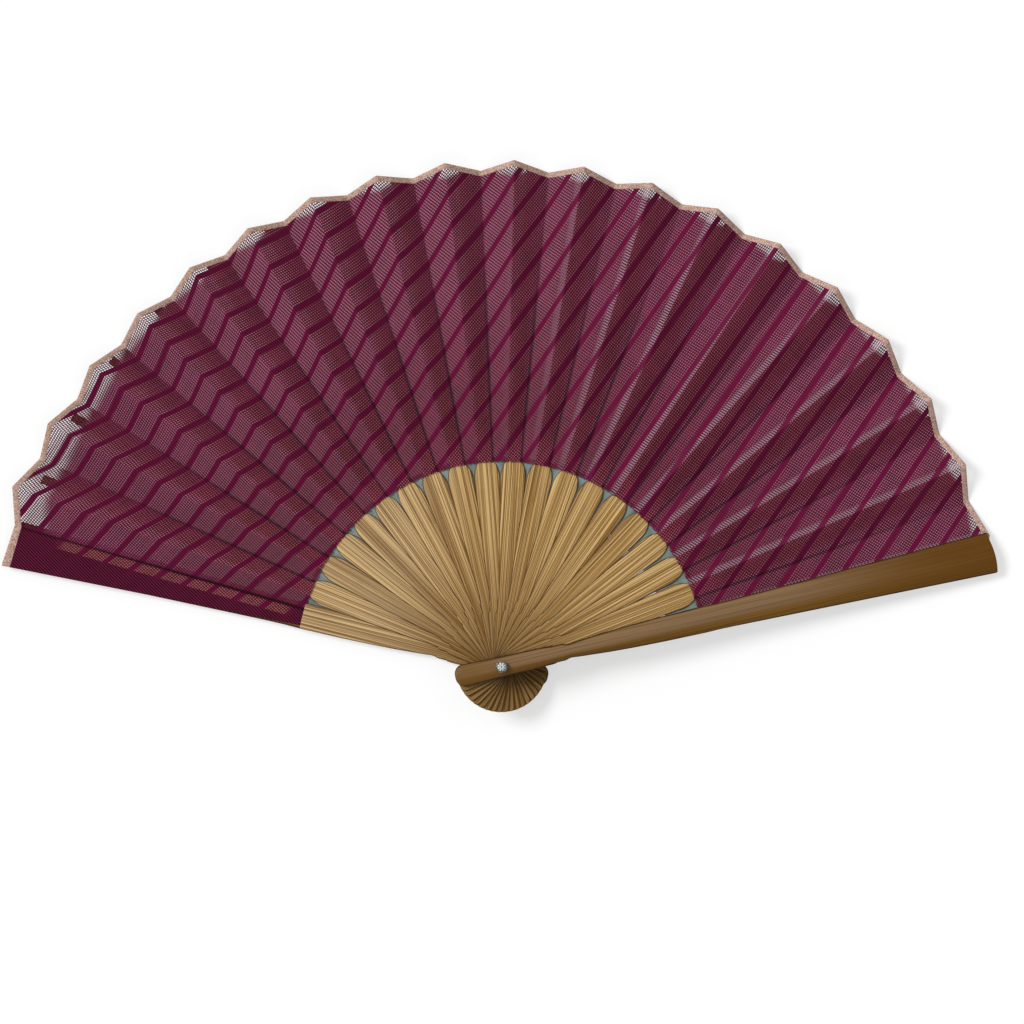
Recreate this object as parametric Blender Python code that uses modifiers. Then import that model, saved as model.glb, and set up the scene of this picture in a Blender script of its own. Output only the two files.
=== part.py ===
"""Folding fan: bamboo sticks on a rivet and a pleated gauze leaf, lying open on its back.

Metres, +Z up. The origin is on the resting plane, under the rivet's centre.
The sticks are stacked up the rivet, from the rear guard at the bottom to the front guard on top.
The leaf's valleys lie on the resting plane, so each stick slopes a little down from its own
level on the rivet to the leaf.
"""
import math

import bmesh
import bpy
from mathutils import Matrix, Vector

# How far the fan is open: turns are measured from +X towards +Y
RIB_COUNT = 18
REAR_GUARD_TURN = math.radians(165.9)
FRONT_GUARD_TURN = math.radians(13.0)
STICK_STEP = (REAR_GUARD_TURN - FRONT_GUARD_TURN) / (RIB_COUNT + 1)
SPREAD_ANGLE = math.radians(1.35)
SPREAD_SKEW_SHARE = 1.8

# Stack of sticks on the rivet
STICK_THICKNESS = 0.00045
STICK_GAP = 0.00035
SEAT_GAP = 0.0002
GUARD_THICKNESS = 0.0022
GUARD_EDGE_ROUND = 0.0007

# Rivet, stone setting and stone
RIVET_RADIUS = 0.0014
RIVET_HOLE_CLEARANCE = 0.0003
RIVET_HEAD_RADIUS = 0.0030
RIVET_HEAD_HEIGHT = 0.0008
SETTING_RADIUS = 0.0022
SETTING_HEIGHT = 0.0011
SETTING_BASE = 0.0004
SETTING_WALL = 0.0003
SETTING_LIFT = 0.0003
STONE_CLEARANCE = 0.0002
STONE_HEIGHT = 0.0012
STONE_TABLE_RADIUS = 0.0010
STONE_GIRDLE_HEIGHT = 0.0006
STONE_SIDES = 12
TURNED_SIDES = 24

# Outline of a rib: a wide head from the tail to the shoulders, then a narrow slip in the leaf
RIB_TAIL_LENGTH = 0.0173
RIB_TAIL_ROUND = 0.0016
RIB_PIVOT_HALF_WIDTH = 0.0036
RIB_WAIST_RADIUS = 0.0284
RIB_WAIST_HALF_WIDTH = 0.0027
RIB_HEAD_RADIUS = 0.0778
RIB_SHOULDER_HALF_WIDTH = 0.0046
RIB_SHOULDER_ROUND = 0.0040
SLIP_HALF_WIDTH = 0.0017
SLIP_TIP_HALF_WIDTH = 0.0013
SLIP_RADIUS = 0.1820
SLIP_TWIST_LENGTH = 0.0120
ROUND_STEPS = 4

# Carved steps of a stick's edge: shares of the waist's radius, and of the half width at the rivet
CARVED_STEP_SHARES = ((0.66, 1.0), (0.715, 0.96), (0.75, 0.83), (0.80, 0.86), (0.855, 0.875), (0.89, 0.77))

# Outline of a guard
GUARD_TAIL_LENGTH = 0.0180
GUARD_TAIL_HALF_WIDTH = 0.0042
GUARD_TAIL_ROUND = 0.0024
GUARD_PIVOT_HALF_WIDTH = 0.0038
GUARD_WAIST_RADIUS = 0.0300
GUARD_WAIST_HALF_WIDTH = 0.0030
GUARD_MIDDLE_RADIUS = 0.0776
GUARD_MIDDLE_HALF_WIDTH = 0.0044
GUARD_TIP_RADIUS = 0.1914
GUARD_TIP_HALF_WIDTH = 0.0079
GUARD_TIP_SLANT = 0.0006
GUARD_TIP_ROUND = 0.0010

# Leaf: each rib carries a panel that falls from a peak to a valley, and a panel that rises again
LEAF_PEAK_RADIUS = 0.1912
LEAF_VALLEY_RADIUS = 0.1876
LEAF_RELIEF = 0.0080
LEAF_PEAK_FLARE = 0.0057
LEAF_VALLEY_FLARE = 0.0042
LEAF_FLARE_STICKS = 4
LEAF_THICKNESS = 0.00035
LEAF_SPLIT_GAP = 0.0003
LEAF_EDGE_ANGLE = math.radians(2.8)
LEAF_ROW_SHARES = (0.0, 0.035, 0.07, 0.11, 0.4, 0.7, 1.0)

# Allowance for a cutter to pass a face
CUT_OVERRUN = 0.002

# Colours, roughness and metallic value
BAMBOO = ("bamboo", (0.50, 0.33, 0.14), 0.55, 0.0)
STAINED_BAMBOO = ("stained_bamboo", (0.19, 0.09, 0.025), 0.42, 0.0)
GAUZE = ("gauze", (0.13, 0.012, 0.045), 0.85, 0.0)
DARK_METAL = ("dark_metal", (0.12, 0.11, 0.10), 0.35, 1.0)
CUT_STONE = ("cut_stone", (0.80, 0.82, 0.84), 0.05, 0.0)

# Levels on the rivet, from the resting plane up
REAR_GUARD_LEVEL = RIVET_HEAD_HEIGHT + SEAT_GAP + GUARD_THICKNESS / 2
REAR_GUARD_TOP = REAR_GUARD_LEVEL + GUARD_THICKNESS / 2
REAR_LINER_LEVEL = REAR_GUARD_TOP + SEAT_GAP + STICK_THICKNESS / 2
STICK_PITCH = STICK_THICKNESS + STICK_GAP
FRONT_LINER_LEVEL = REAR_LINER_LEVEL + STICK_PITCH * (RIB_COUNT + 1)
LINER_TO_GUARD = STICK_THICKNESS / 2 + SEAT_GAP + GUARD_THICKNESS / 2

# Pleats: a fold lies a quarter of a step to either side of its rib
FOLD_ANGLE = STICK_STEP / 4
PANEL_SLOPE = LEAF_RELIEF / 2 / (LEAF_PEAK_RADIUS * FOLD_ANGLE)
PANEL_TILT = math.atan(PANEL_SLOPE)
LEAF_LIFT = (STICK_THICKNESS / 2 + SEAT_GAP) / math.cos(PANEL_TILT)
LEAF_INNER_RADIUS = RIB_HEAD_RADIUS + SEAT_GAP


def clear_scene():
    """Remove every object of the scene."""
    for thing in list(bpy.data.objects):
        bpy.data.objects.remove(thing, do_unlink=True)


def new_collection(name):
    """Add a collection to the scene."""
    group = bpy.data.collections.new(name)
    bpy.context.scene.collection.children.link(group)
    return group


def new_material(finish):
    """Make one Principled material from a finish."""
    name, colour, roughness, metallic = finish
    material = bpy.data.materials.new(name)
    material.use_nodes = True
    shader = material.node_tree.nodes["Principled BSDF"]
    shader.inputs["Base Color"].default_value = (*colour, 1.0)
    shader.inputs["Roughness"].default_value = roughness
    shader.inputs["Metallic"].default_value = metallic
    material.diffuse_color = (*colour, 1.0)
    return material


def new_object(name, mesh, group, finish=None):
    """Put a mesh into the scene as a named object."""
    thing = bpy.data.objects.new(name, mesh)
    group.objects.link(thing)
    if finish:
        mesh.materials.clear()
        mesh.materials.append(finish)
    return thing


def stick_turn(index):
    """Turn of a stick: 0 is the rear guard, RIB_COUNT + 1 the front guard.

    The ribs stand a little closer together on the rear guard's side, as the fan was laid open.
    """
    share = index / (RIB_COUNT + 1)
    spread = SPREAD_ANGLE * math.sin(math.pi * share**SPREAD_SKEW_SHARE)
    return REAR_GUARD_TURN - STICK_STEP * index + spread


def stick_level(index):
    """Height of a rib's or liner's middle plane on the rivet's axis."""
    return REAR_LINER_LEVEL + STICK_PITCH * index


def flare_share(index):
    """How far the cloth stands out at a stick: fully beside the rear guard, less with each stick."""
    share = min(1.0, 1.0 - (index - 1) / LEAF_FLARE_STICKS)
    return max(0.0, share) ** 2


def peak_reach(index):
    """Outer radius of the peak on a stick's left."""
    return LEAF_PEAK_RADIUS + LEAF_PEAK_FLARE * flare_share(index)


def valley_reach(index):
    """Outer radius of the valley on a stick's right."""
    return LEAF_VALLEY_RADIUS + LEAF_VALLEY_FLARE * flare_share(index)


def stick_slope(index):
    """Angle by which a stick falls from the rivet until its valley touches the resting plane."""
    if index == 0:
        return 0.0
    reach = valley_reach(index)
    resting_height = reach * FOLD_ANGLE * PANEL_SLOPE - LEAF_LIFT
    return math.atan((stick_level(index) - resting_height) / reach)


def open_turning(index):
    """Rotation of a stick when the fan is open."""
    return Matrix.Rotation(stick_turn(index), 4, "Z") @ Matrix.Rotation(stick_slope(index), 4, "Y")


def swing_axis(index):
    """Axis about which a stick swings from its sloping open place onto the closed, level stack."""
    closed_turning = Matrix.Rotation(REAR_GUARD_TURN, 4, "Z")
    swing = closed_turning @ open_turning(index).inverted()
    axis, angle = swing.to_quaternion().to_axis_angle()
    return axis if axis.z > 0 else -axis


def add_swing(index, group):
    """Add the empty on a stick's joint axis, with its own Z along that axis."""
    empty = bpy.data.objects.new(f"swing_{index:02d}", None)
    empty.empty_display_size = RIVET_HEAD_RADIUS
    empty.location = (0, 0, stick_level(index))
    empty.rotation_mode = "QUATERNION"
    empty.rotation_quaternion = Vector((0, 0, 1)).rotation_difference(swing_axis(index))
    group.objects.link(empty)
    return empty


def carry(thing, empty):
    """Parent a placed object to a swing without moving it."""
    thing.parent = empty
    place = Matrix.Translation(empty.location) @ empty.rotation_quaternion.to_matrix().to_4x4()
    thing.matrix_parent_inverse = place.inverted()


def place_stick(thing, index, lift=0.0):
    """Place a stick modelled along +X, with its middle plane a lift above its level."""
    turning = open_turning(index)
    thing.location = Vector((0, 0, stick_level(index))) + turning @ Vector((0, 0, lift))
    thing.rotation_euler = (0, stick_slope(index), stick_turn(index))


def rounded_corner(centre, radius, start, end):
    """Points of an arc from one angle to another."""
    points = []
    for step in range(ROUND_STEPS + 1):
        angle = start + (end - start) * step / ROUND_STEPS
        points.append((centre[0] + radius * math.cos(angle), centre[1] + radius * math.sin(angle)))
    return points


def carved_edge():
    """Edge of a stick from its tail to its waist, as distance from the rivet and half width."""
    tail_centre = (RIB_TAIL_ROUND - RIB_TAIL_LENGTH, RIB_PIVOT_HALF_WIDTH - RIB_TAIL_ROUND)
    edge = rounded_corner(tail_centre, RIB_TAIL_ROUND, math.pi, math.pi / 2)
    for along, across in CARVED_STEP_SHARES:
        edge.append((along * RIB_WAIST_RADIUS, across * RIB_PIVOT_HALF_WIDTH))
    edge.append((RIB_WAIST_RADIUS, RIB_WAIST_HALF_WIDTH))
    return edge


def rib_edge():
    """Whole edge of a rib, from its tail to the slip's tip."""
    shoulder_centre = (RIB_HEAD_RADIUS - RIB_SHOULDER_ROUND, RIB_SHOULDER_HALF_WIDTH - RIB_SHOULDER_ROUND)
    shoulder = rounded_corner(shoulder_centre, RIB_SHOULDER_ROUND, math.pi / 2, 0)
    edge = carved_edge() + [point for point in shoulder if point[1] > SLIP_HALF_WIDTH]
    for step in range(ROUND_STEPS + 1):
        edge.append((RIB_HEAD_RADIUS + SLIP_TWIST_LENGTH * step / ROUND_STEPS, SLIP_HALF_WIDTH))
    edge.append((SLIP_RADIUS, SLIP_TIP_HALF_WIDTH))
    return edge


def leaf_tilt(radius):
    """Tilt of a falling panel and of the slip in it: none at the shoulders, full past the twist."""
    share = (radius - RIB_HEAD_RADIUS) / SLIP_TWIST_LENGTH
    share = min(max(share, 0.0), 1.0)
    return PANEL_TILT * share


def surface_mesh(name, rows):
    """Open surface through rows of points, with its normals up."""
    mesh = bpy.data.meshes.new(name)
    builder = bmesh.new()
    grid = [[builder.verts.new(point) for point in row] for row in rows]
    for near, far in zip(grid, grid[1:]):
        for left in range(len(near) - 1):
            builder.faces.new((near[left], near[left + 1], far[left + 1], far[left]))
    builder.normal_update()
    if sum(face.normal.z for face in builder.faces) < 0:
        bmesh.ops.reverse_faces(builder, faces=builder.faces[:])
    builder.to_mesh(mesh)
    builder.free()
    return mesh


def thicken(thing, thickness, offset):
    """Give an open surface its wall."""
    wall = thing.modifiers.new("wall", "SOLIDIFY")
    wall.thickness = thickness
    wall.offset = offset
    wall.use_even_offset = True


def rib_mesh():
    """Middle surface of a rib: level head, and a slip that turns into the leaf's tilt."""
    rows = []
    for radius, half_width in rib_edge():
        tilt = leaf_tilt(radius)
        across = Vector((0, half_width * math.cos(tilt), half_width * math.sin(tilt)))
        along = Vector((radius, 0, 0))
        rows.append([along + across, along - across])
    return surface_mesh("rib", rows)


def outline_mesh(name, outline, thickness):
    """Plate from a flat outline, as a welded mesh."""
    curve = bpy.data.curves.new(name, "CURVE")
    curve.dimensions = "2D"
    curve.fill_mode = "BOTH"
    curve.extrude = thickness / 2
    spline = curve.splines.new("POLY")
    spline.points.add(len(outline) - 1)
    for point, (along, across) in zip(spline.points, outline):
        point.co = (along, across, 0, 1)
    spline.use_cyclic_u = True
    thing = bpy.data.objects.new(name, curve)
    bpy.context.scene.collection.objects.link(thing)
    evaluated = thing.evaluated_get(bpy.context.evaluated_depsgraph_get())
    mesh = bpy.data.meshes.new_from_object(evaluated)
    bpy.data.objects.remove(thing, do_unlink=True)
    builder = bmesh.new()
    builder.from_mesh(mesh)
    bmesh.ops.remove_doubles(builder, verts=builder.verts[:], dist=STICK_THICKNESS / 8)
    bmesh.ops.recalc_face_normals(builder, faces=builder.faces[:])
    builder.to_mesh(mesh)
    builder.free()
    return mesh


def guard_half_width(radius):
    """Half width of a guard past its waist."""
    if radius < GUARD_MIDDLE_RADIUS:
        share = (radius - GUARD_WAIST_RADIUS) / (GUARD_MIDDLE_RADIUS - GUARD_WAIST_RADIUS)
        return GUARD_WAIST_HALF_WIDTH + share * (GUARD_MIDDLE_HALF_WIDTH - GUARD_WAIST_HALF_WIDTH)
    share = (radius - GUARD_MIDDLE_RADIUS) / (GUARD_TIP_RADIUS - GUARD_MIDDLE_RADIUS)
    return GUARD_MIDDLE_HALF_WIDTH + share * (GUARD_TIP_HALF_WIDTH - GUARD_MIDDLE_HALF_WIDTH)


def guard_side(tip_radius):
    """Edge of a guard on one side, from the tail to a tip at the given distance."""
    tail_centre = (GUARD_TAIL_ROUND - GUARD_TAIL_LENGTH, GUARD_TAIL_HALF_WIDTH - GUARD_TAIL_ROUND)
    edge = rounded_corner(tail_centre, GUARD_TAIL_ROUND, math.pi, math.pi / 2)
    edge.append((0, GUARD_PIVOT_HALF_WIDTH))
    edge.append((GUARD_WAIST_RADIUS / 2, (GUARD_PIVOT_HALF_WIDTH + GUARD_WAIST_HALF_WIDTH) / 2))
    edge.append((GUARD_WAIST_RADIUS, GUARD_WAIST_HALF_WIDTH))
    edge.append((GUARD_MIDDLE_RADIUS, GUARD_MIDDLE_HALF_WIDTH))
    tip_centre = (tip_radius - GUARD_TIP_ROUND, GUARD_TIP_HALF_WIDTH - GUARD_TIP_ROUND)
    edge += rounded_corner(tip_centre, GUARD_TIP_ROUND, math.pi / 2, 0)
    return edge


def mirrored(edge):
    """The same edge on the other side, run backwards."""
    return [(along, -across) for along, across in reversed(edge)]


def guard_outline():
    """Outline of a guard, whose tip is cut a little aslant."""
    upper = guard_side(GUARD_TIP_RADIUS - GUARD_TIP_SLANT)
    lower = guard_side(GUARD_TIP_RADIUS + GUARD_TIP_SLANT)
    return upper + mirrored(lower)


def liner_outline():
    """Outline of a liner: a rib's carved tail, and the guard's width up to the leaf."""
    edge = carved_edge()[:-1]
    edge.append((GUARD_WAIST_RADIUS, GUARD_WAIST_HALF_WIDTH))
    edge.append((RIB_HEAD_RADIUS, guard_half_width(RIB_HEAD_RADIUS)))
    return edge + mirrored(edge)


def turned_mesh(name, profile):
    """Profile for a turned piece, in the XZ plane."""
    mesh = bpy.data.meshes.new(name)
    points = [(radius, 0, height) for radius, height in profile]
    edges = [(number, number + 1) for number in range(len(points) - 1)]
    mesh.from_pydata(points, edges, [])
    return mesh


def turn(thing, sides):
    """Turn a profile once round the Z axis."""
    screw = thing.modifiers.new("turning", "SCREW")
    screw.angle = math.tau
    screw.steps = sides
    screw.render_steps = sides
    screw.use_merge_vertices = True
    screw.merge_threshold = SEAT_GAP / 20
    screw.use_smooth_shade = False


def hole_cutter(group):
    """Cylinder that drills the rivet's hole through every stick."""
    mesh = bpy.data.meshes.new("rivet_hole")
    builder = bmesh.new()
    bmesh.ops.create_cone(
        builder,
        cap_ends=True,
        segments=TURNED_SIDES,
        radius1=RIVET_RADIUS + RIVET_HOLE_CLEARANCE,
        radius2=RIVET_RADIUS + RIVET_HOLE_CLEARANCE,
        depth=FRONT_LINER_LEVEL + LINER_TO_GUARD * 2 + CUT_OVERRUN * 2,
    )
    builder.to_mesh(mesh)
    builder.free()
    cutter = new_object("rivet_hole", mesh, group)
    cutter.location = (0, 0, FRONT_LINER_LEVEL / 2)
    cutter.hide_render = True
    cutter.display_type = "WIRE"
    return cutter


def drill(thing, cutter):
    """Cut the rivet's hole."""
    cut = thing.modifiers.new("hole", "BOOLEAN")
    cut.operation = "DIFFERENCE"
    cut.object = cutter


def round_edges(thing):
    """Round a guard's long edges."""
    rounding = thing.modifiers.new("rounding", "BEVEL")
    rounding.width = GUARD_EDGE_ROUND
    rounding.segments = 2
    rounding.limit_method = "ANGLE"


def add_guard(name, index, lift, mesh, group, cutter, finish):
    """Add one guard, a lift away from its liner."""
    guard = new_object(name, mesh, group, finish)
    round_edges(guard)
    drill(guard, cutter)
    place_stick(guard, index, lift)
    return guard


def add_liner(name, index, mesh, group, cutter, finish):
    """Add one light liner on a guard's inner face."""
    liner = new_object(name, mesh, group, finish)
    drill(liner, cutter)
    place_stick(liner, index)
    return liner


def add_rib(index, mesh, group, cutter, finish):
    """Add one rib."""
    rib = new_object(f"rib_{index:02d}", mesh, group, finish)
    thicken(rib, STICK_THICKNESS, 0)
    drill(rib, cutter)
    place_stick(rib, index)
    return rib


def slip_height(index, radius):
    """Height of a stick's middle line at a distance from the rivet's axis."""
    return stick_level(index) - radius * math.tan(stick_slope(index))


def falling_panel_height(index, angle, radius):
    """Underside of the panel on a rib, at an angle from the rib towards its peak."""
    return slip_height(index, radius) + LEAF_LIFT + radius * angle * math.tan(leaf_tilt(radius))


def rear_panel_height(radius):
    """Underside of the first panel, which lies on the rear guard."""
    return REAR_GUARD_TOP + SEAT_GAP


def front_panel_height(radius):
    """Underside of the last panel, which is glued under the front guard."""
    front = RIB_COUNT + 1
    under_guard = STICK_THICKNESS / 2 - LEAF_THICKNESS
    return slip_height(front, radius) + under_guard / math.cos(stick_slope(front))


def peak(index):
    """Fold line on the left of a rib: its turn, outer radius and height."""
    turn_of_fold = stick_turn(index) + FOLD_ANGLE
    if index > RIB_COUNT:
        return turn_of_fold, peak_reach(index), front_panel_height
    return turn_of_fold, peak_reach(index), lambda radius: falling_panel_height(index, FOLD_ANGLE, radius)


def valley(index):
    """Fold line on the right of a rib: its turn, outer radius and height."""
    turn_of_fold = stick_turn(index) - FOLD_ANGLE
    if index == 0:
        return turn_of_fold, valley_reach(index), rear_panel_height
    if index > RIB_COUNT:
        return turn_of_fold, valley_reach(index), front_panel_height
    return turn_of_fold, valley_reach(index), lambda radius: falling_panel_height(index, -FOLD_ANGLE, radius)


def leaf_edge():
    """Free edge of the first panel, past the rear guard."""
    return REAR_GUARD_TURN + LEAF_EDGE_ANGLE, LEAF_PEAK_RADIUS + LEAF_PEAK_FLARE / 3, rear_panel_height


def leaf_mesh(name, folds, centre):
    """Sheet through fold lines from left to right, drawn back from its cut sides by half a gap."""
    rows = []
    for share in LEAF_ROW_SHARES:
        row = []
        for number, (fold_turn, outer_radius, height) in enumerate(folds):
            radius = LEAF_INNER_RADIUS + share * (outer_radius - LEAF_INNER_RADIUS)
            inset = 0.0
            if number == 0:
                inset = -LEAF_SPLIT_GAP / 2
            if number == len(folds) - 1:
                inset = LEAF_SPLIT_GAP / 2
            angle = fold_turn + inset / radius
            point = Vector((radius * math.cos(angle), radius * math.sin(angle), height(radius)))
            row.append(point - centre)
        rows.append(row)
    return surface_mesh(name, rows)


def add_leaf(index, group, finish):
    """Add the pleat that a stick carries."""
    front = RIB_COUNT + 1
    folds = [peak(index), valley(index)]
    if index == 0:
        folds = [leaf_edge(), valley(0)]
    if index < front:
        folds.append(peak(index + 1))
    name = f"leaf_{index:02d}"
    centre = Vector((0, 0, stick_level(index)))
    leaf = new_object(name, leaf_mesh(name, folds, centre), group, finish)
    thicken(leaf, LEAF_THICKNESS, 1)
    leaf.location = centre
    return leaf


def guard_face_level():
    """Height of the front guard's outer face on the rivet's axis."""
    slope = stick_slope(RIB_COUNT + 1)
    return FRONT_LINER_LEVEL + (LINER_TO_GUARD + GUARD_THICKNESS / 2) / math.cos(slope)


def add_rivet(group, finish):
    """Add the rivet: a shank through all the sticks, and a head below them."""
    shank_end = guard_face_level() + SETTING_LIFT - SEAT_GAP
    profile = [
        (0, shank_end),
        (RIVET_RADIUS, shank_end),
        (RIVET_RADIUS, RIVET_HEAD_HEIGHT),
        (RIVET_HEAD_RADIUS, RIVET_HEAD_HEIGHT),
        (RIVET_HEAD_RADIUS, 0),
        (0, 0),
    ]
    rivet = new_object("rivet", turned_mesh("rivet", profile), group, finish)
    turn(rivet, TURNED_SIDES)
    return rivet


def add_setting(group, finish):
    """Add the cup on the rivet's end that holds the stone."""
    inner_radius = SETTING_RADIUS - SETTING_WALL
    profile = [
        (0, SETTING_BASE),
        (inner_radius, SETTING_BASE),
        (inner_radius, SETTING_HEIGHT),
        (SETTING_RADIUS, SETTING_HEIGHT),
        (SETTING_RADIUS, 0),
        (0, 0),
    ]
    setting = new_object("stone_setting", turned_mesh("stone_setting", profile), group, finish)
    turn(setting, TURNED_SIDES)
    setting.location = (0, 0, guard_face_level() + SETTING_LIFT)
    return setting


def add_stone(group, finish):
    """Add the cut stone, with a flat table and sloping crown facets."""
    girdle_radius = SETTING_RADIUS - SETTING_WALL - STONE_CLEARANCE
    profile = [
        (0, STONE_HEIGHT),
        (STONE_TABLE_RADIUS, STONE_HEIGHT),
        (girdle_radius, STONE_GIRDLE_HEIGHT),
        (girdle_radius, STONE_GIRDLE_HEIGHT / 2),
        (STONE_TABLE_RADIUS, 0),
        (0, 0),
    ]
    stone = new_object("stone", turned_mesh("stone", profile), group, finish)
    turn(stone, STONE_SIDES)
    stone.location = (0, 0, guard_face_level() + SETTING_LIFT + SETTING_BASE + STONE_CLEARANCE)
    return stone


def build_fan():
    """Build every piece of the fan."""
    clear_scene()
    parts = new_collection("folding_fan")
    cutters = new_collection("cutters")
    bamboo = new_material(BAMBOO)
    stained = new_material(STAINED_BAMBOO)
    gauze = new_material(GAUZE)
    metal = new_material(DARK_METAL)
    crystal = new_material(CUT_STONE)
    cutter = hole_cutter(cutters)
    front = RIB_COUNT + 1

    guard_mesh = outline_mesh("guard", guard_outline(), GUARD_THICKNESS)
    liner_mesh = outline_mesh("liner", liner_outline(), STICK_THICKNESS)
    add_guard("rear_guard", 0, -LINER_TO_GUARD, guard_mesh, parts, cutter, stained)
    add_liner("rear_guard_liner", 0, liner_mesh, parts, cutter, bamboo)
    add_leaf(0, parts, gauze)

    shared_rib_mesh = rib_mesh()
    for index in range(1, front):
        swing = add_swing(index, parts)
        carry(add_rib(index, shared_rib_mesh, parts, cutter, bamboo), swing)
        carry(add_leaf(index, parts, gauze), swing)

    swing = add_swing(front, parts)
    carry(add_liner("front_guard_liner", front, liner_mesh, parts, cutter, bamboo), swing)
    carry(add_guard("front_guard", front, LINER_TO_GUARD, guard_mesh, parts, cutter, stained), swing)
    carry(add_leaf(front, parts, gauze), swing)

    add_rivet(parts, metal)
    add_setting(parts, metal)
    add_stone(parts, crystal)


if __name__ == "__main__":
    build_fan()
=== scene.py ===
"""Folding fan: bamboo ribs, stained guards and a pleated gauze leaf, dressed over the CAD model.

Metres, +Z up, in the CAD model's frame. The fan lies open on its back; the camera looks
straight down on it. Each rib carries one falling panel of the leaf, and the rising panels lie
between the ribs.
"""
import logging
import math
from collections.abc import Callable
from dataclasses import dataclass, field, replace
from enum import Enum
from functools import partial

import bmesh
import bpy
from mathutils import Matrix, Vector


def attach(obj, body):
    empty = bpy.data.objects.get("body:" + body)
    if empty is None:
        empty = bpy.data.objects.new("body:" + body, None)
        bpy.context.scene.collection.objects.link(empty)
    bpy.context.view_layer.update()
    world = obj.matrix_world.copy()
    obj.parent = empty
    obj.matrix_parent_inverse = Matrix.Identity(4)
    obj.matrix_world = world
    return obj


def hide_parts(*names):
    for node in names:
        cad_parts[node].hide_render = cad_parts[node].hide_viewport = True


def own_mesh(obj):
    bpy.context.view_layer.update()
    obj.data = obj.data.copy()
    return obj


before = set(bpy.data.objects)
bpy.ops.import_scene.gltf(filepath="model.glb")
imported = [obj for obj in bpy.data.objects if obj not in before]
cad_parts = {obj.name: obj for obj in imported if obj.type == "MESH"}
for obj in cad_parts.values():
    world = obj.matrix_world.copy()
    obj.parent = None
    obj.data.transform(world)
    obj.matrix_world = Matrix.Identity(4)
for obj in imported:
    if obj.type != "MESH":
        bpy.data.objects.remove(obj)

LOG = logging.getLogger("fan")
Colour = tuple[float, float, float]
Point = tuple[float, float]


def linear(red: int, green: int, blue: int) -> Colour:
    """Turn a colour from 0 to 255 a channel into the shader's own values.

    Args:
        red: Red, 0 to 255.
        green: Green, 0 to 255.
        blue: Blue, 0 to 255.

    Returns:
        The same colour in linear light.
    """
    shares = (red / 255, green / 255, blue / 255)
    return tuple(s / 12.92 if s <= 0.04045 else ((s + 0.055) / 1.055) ** 2.4 for s in shares)


def blend(start: float, end: float, share: float) -> float:
    """Number at a share of the way between two others."""
    return start + (end - start) * share


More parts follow.
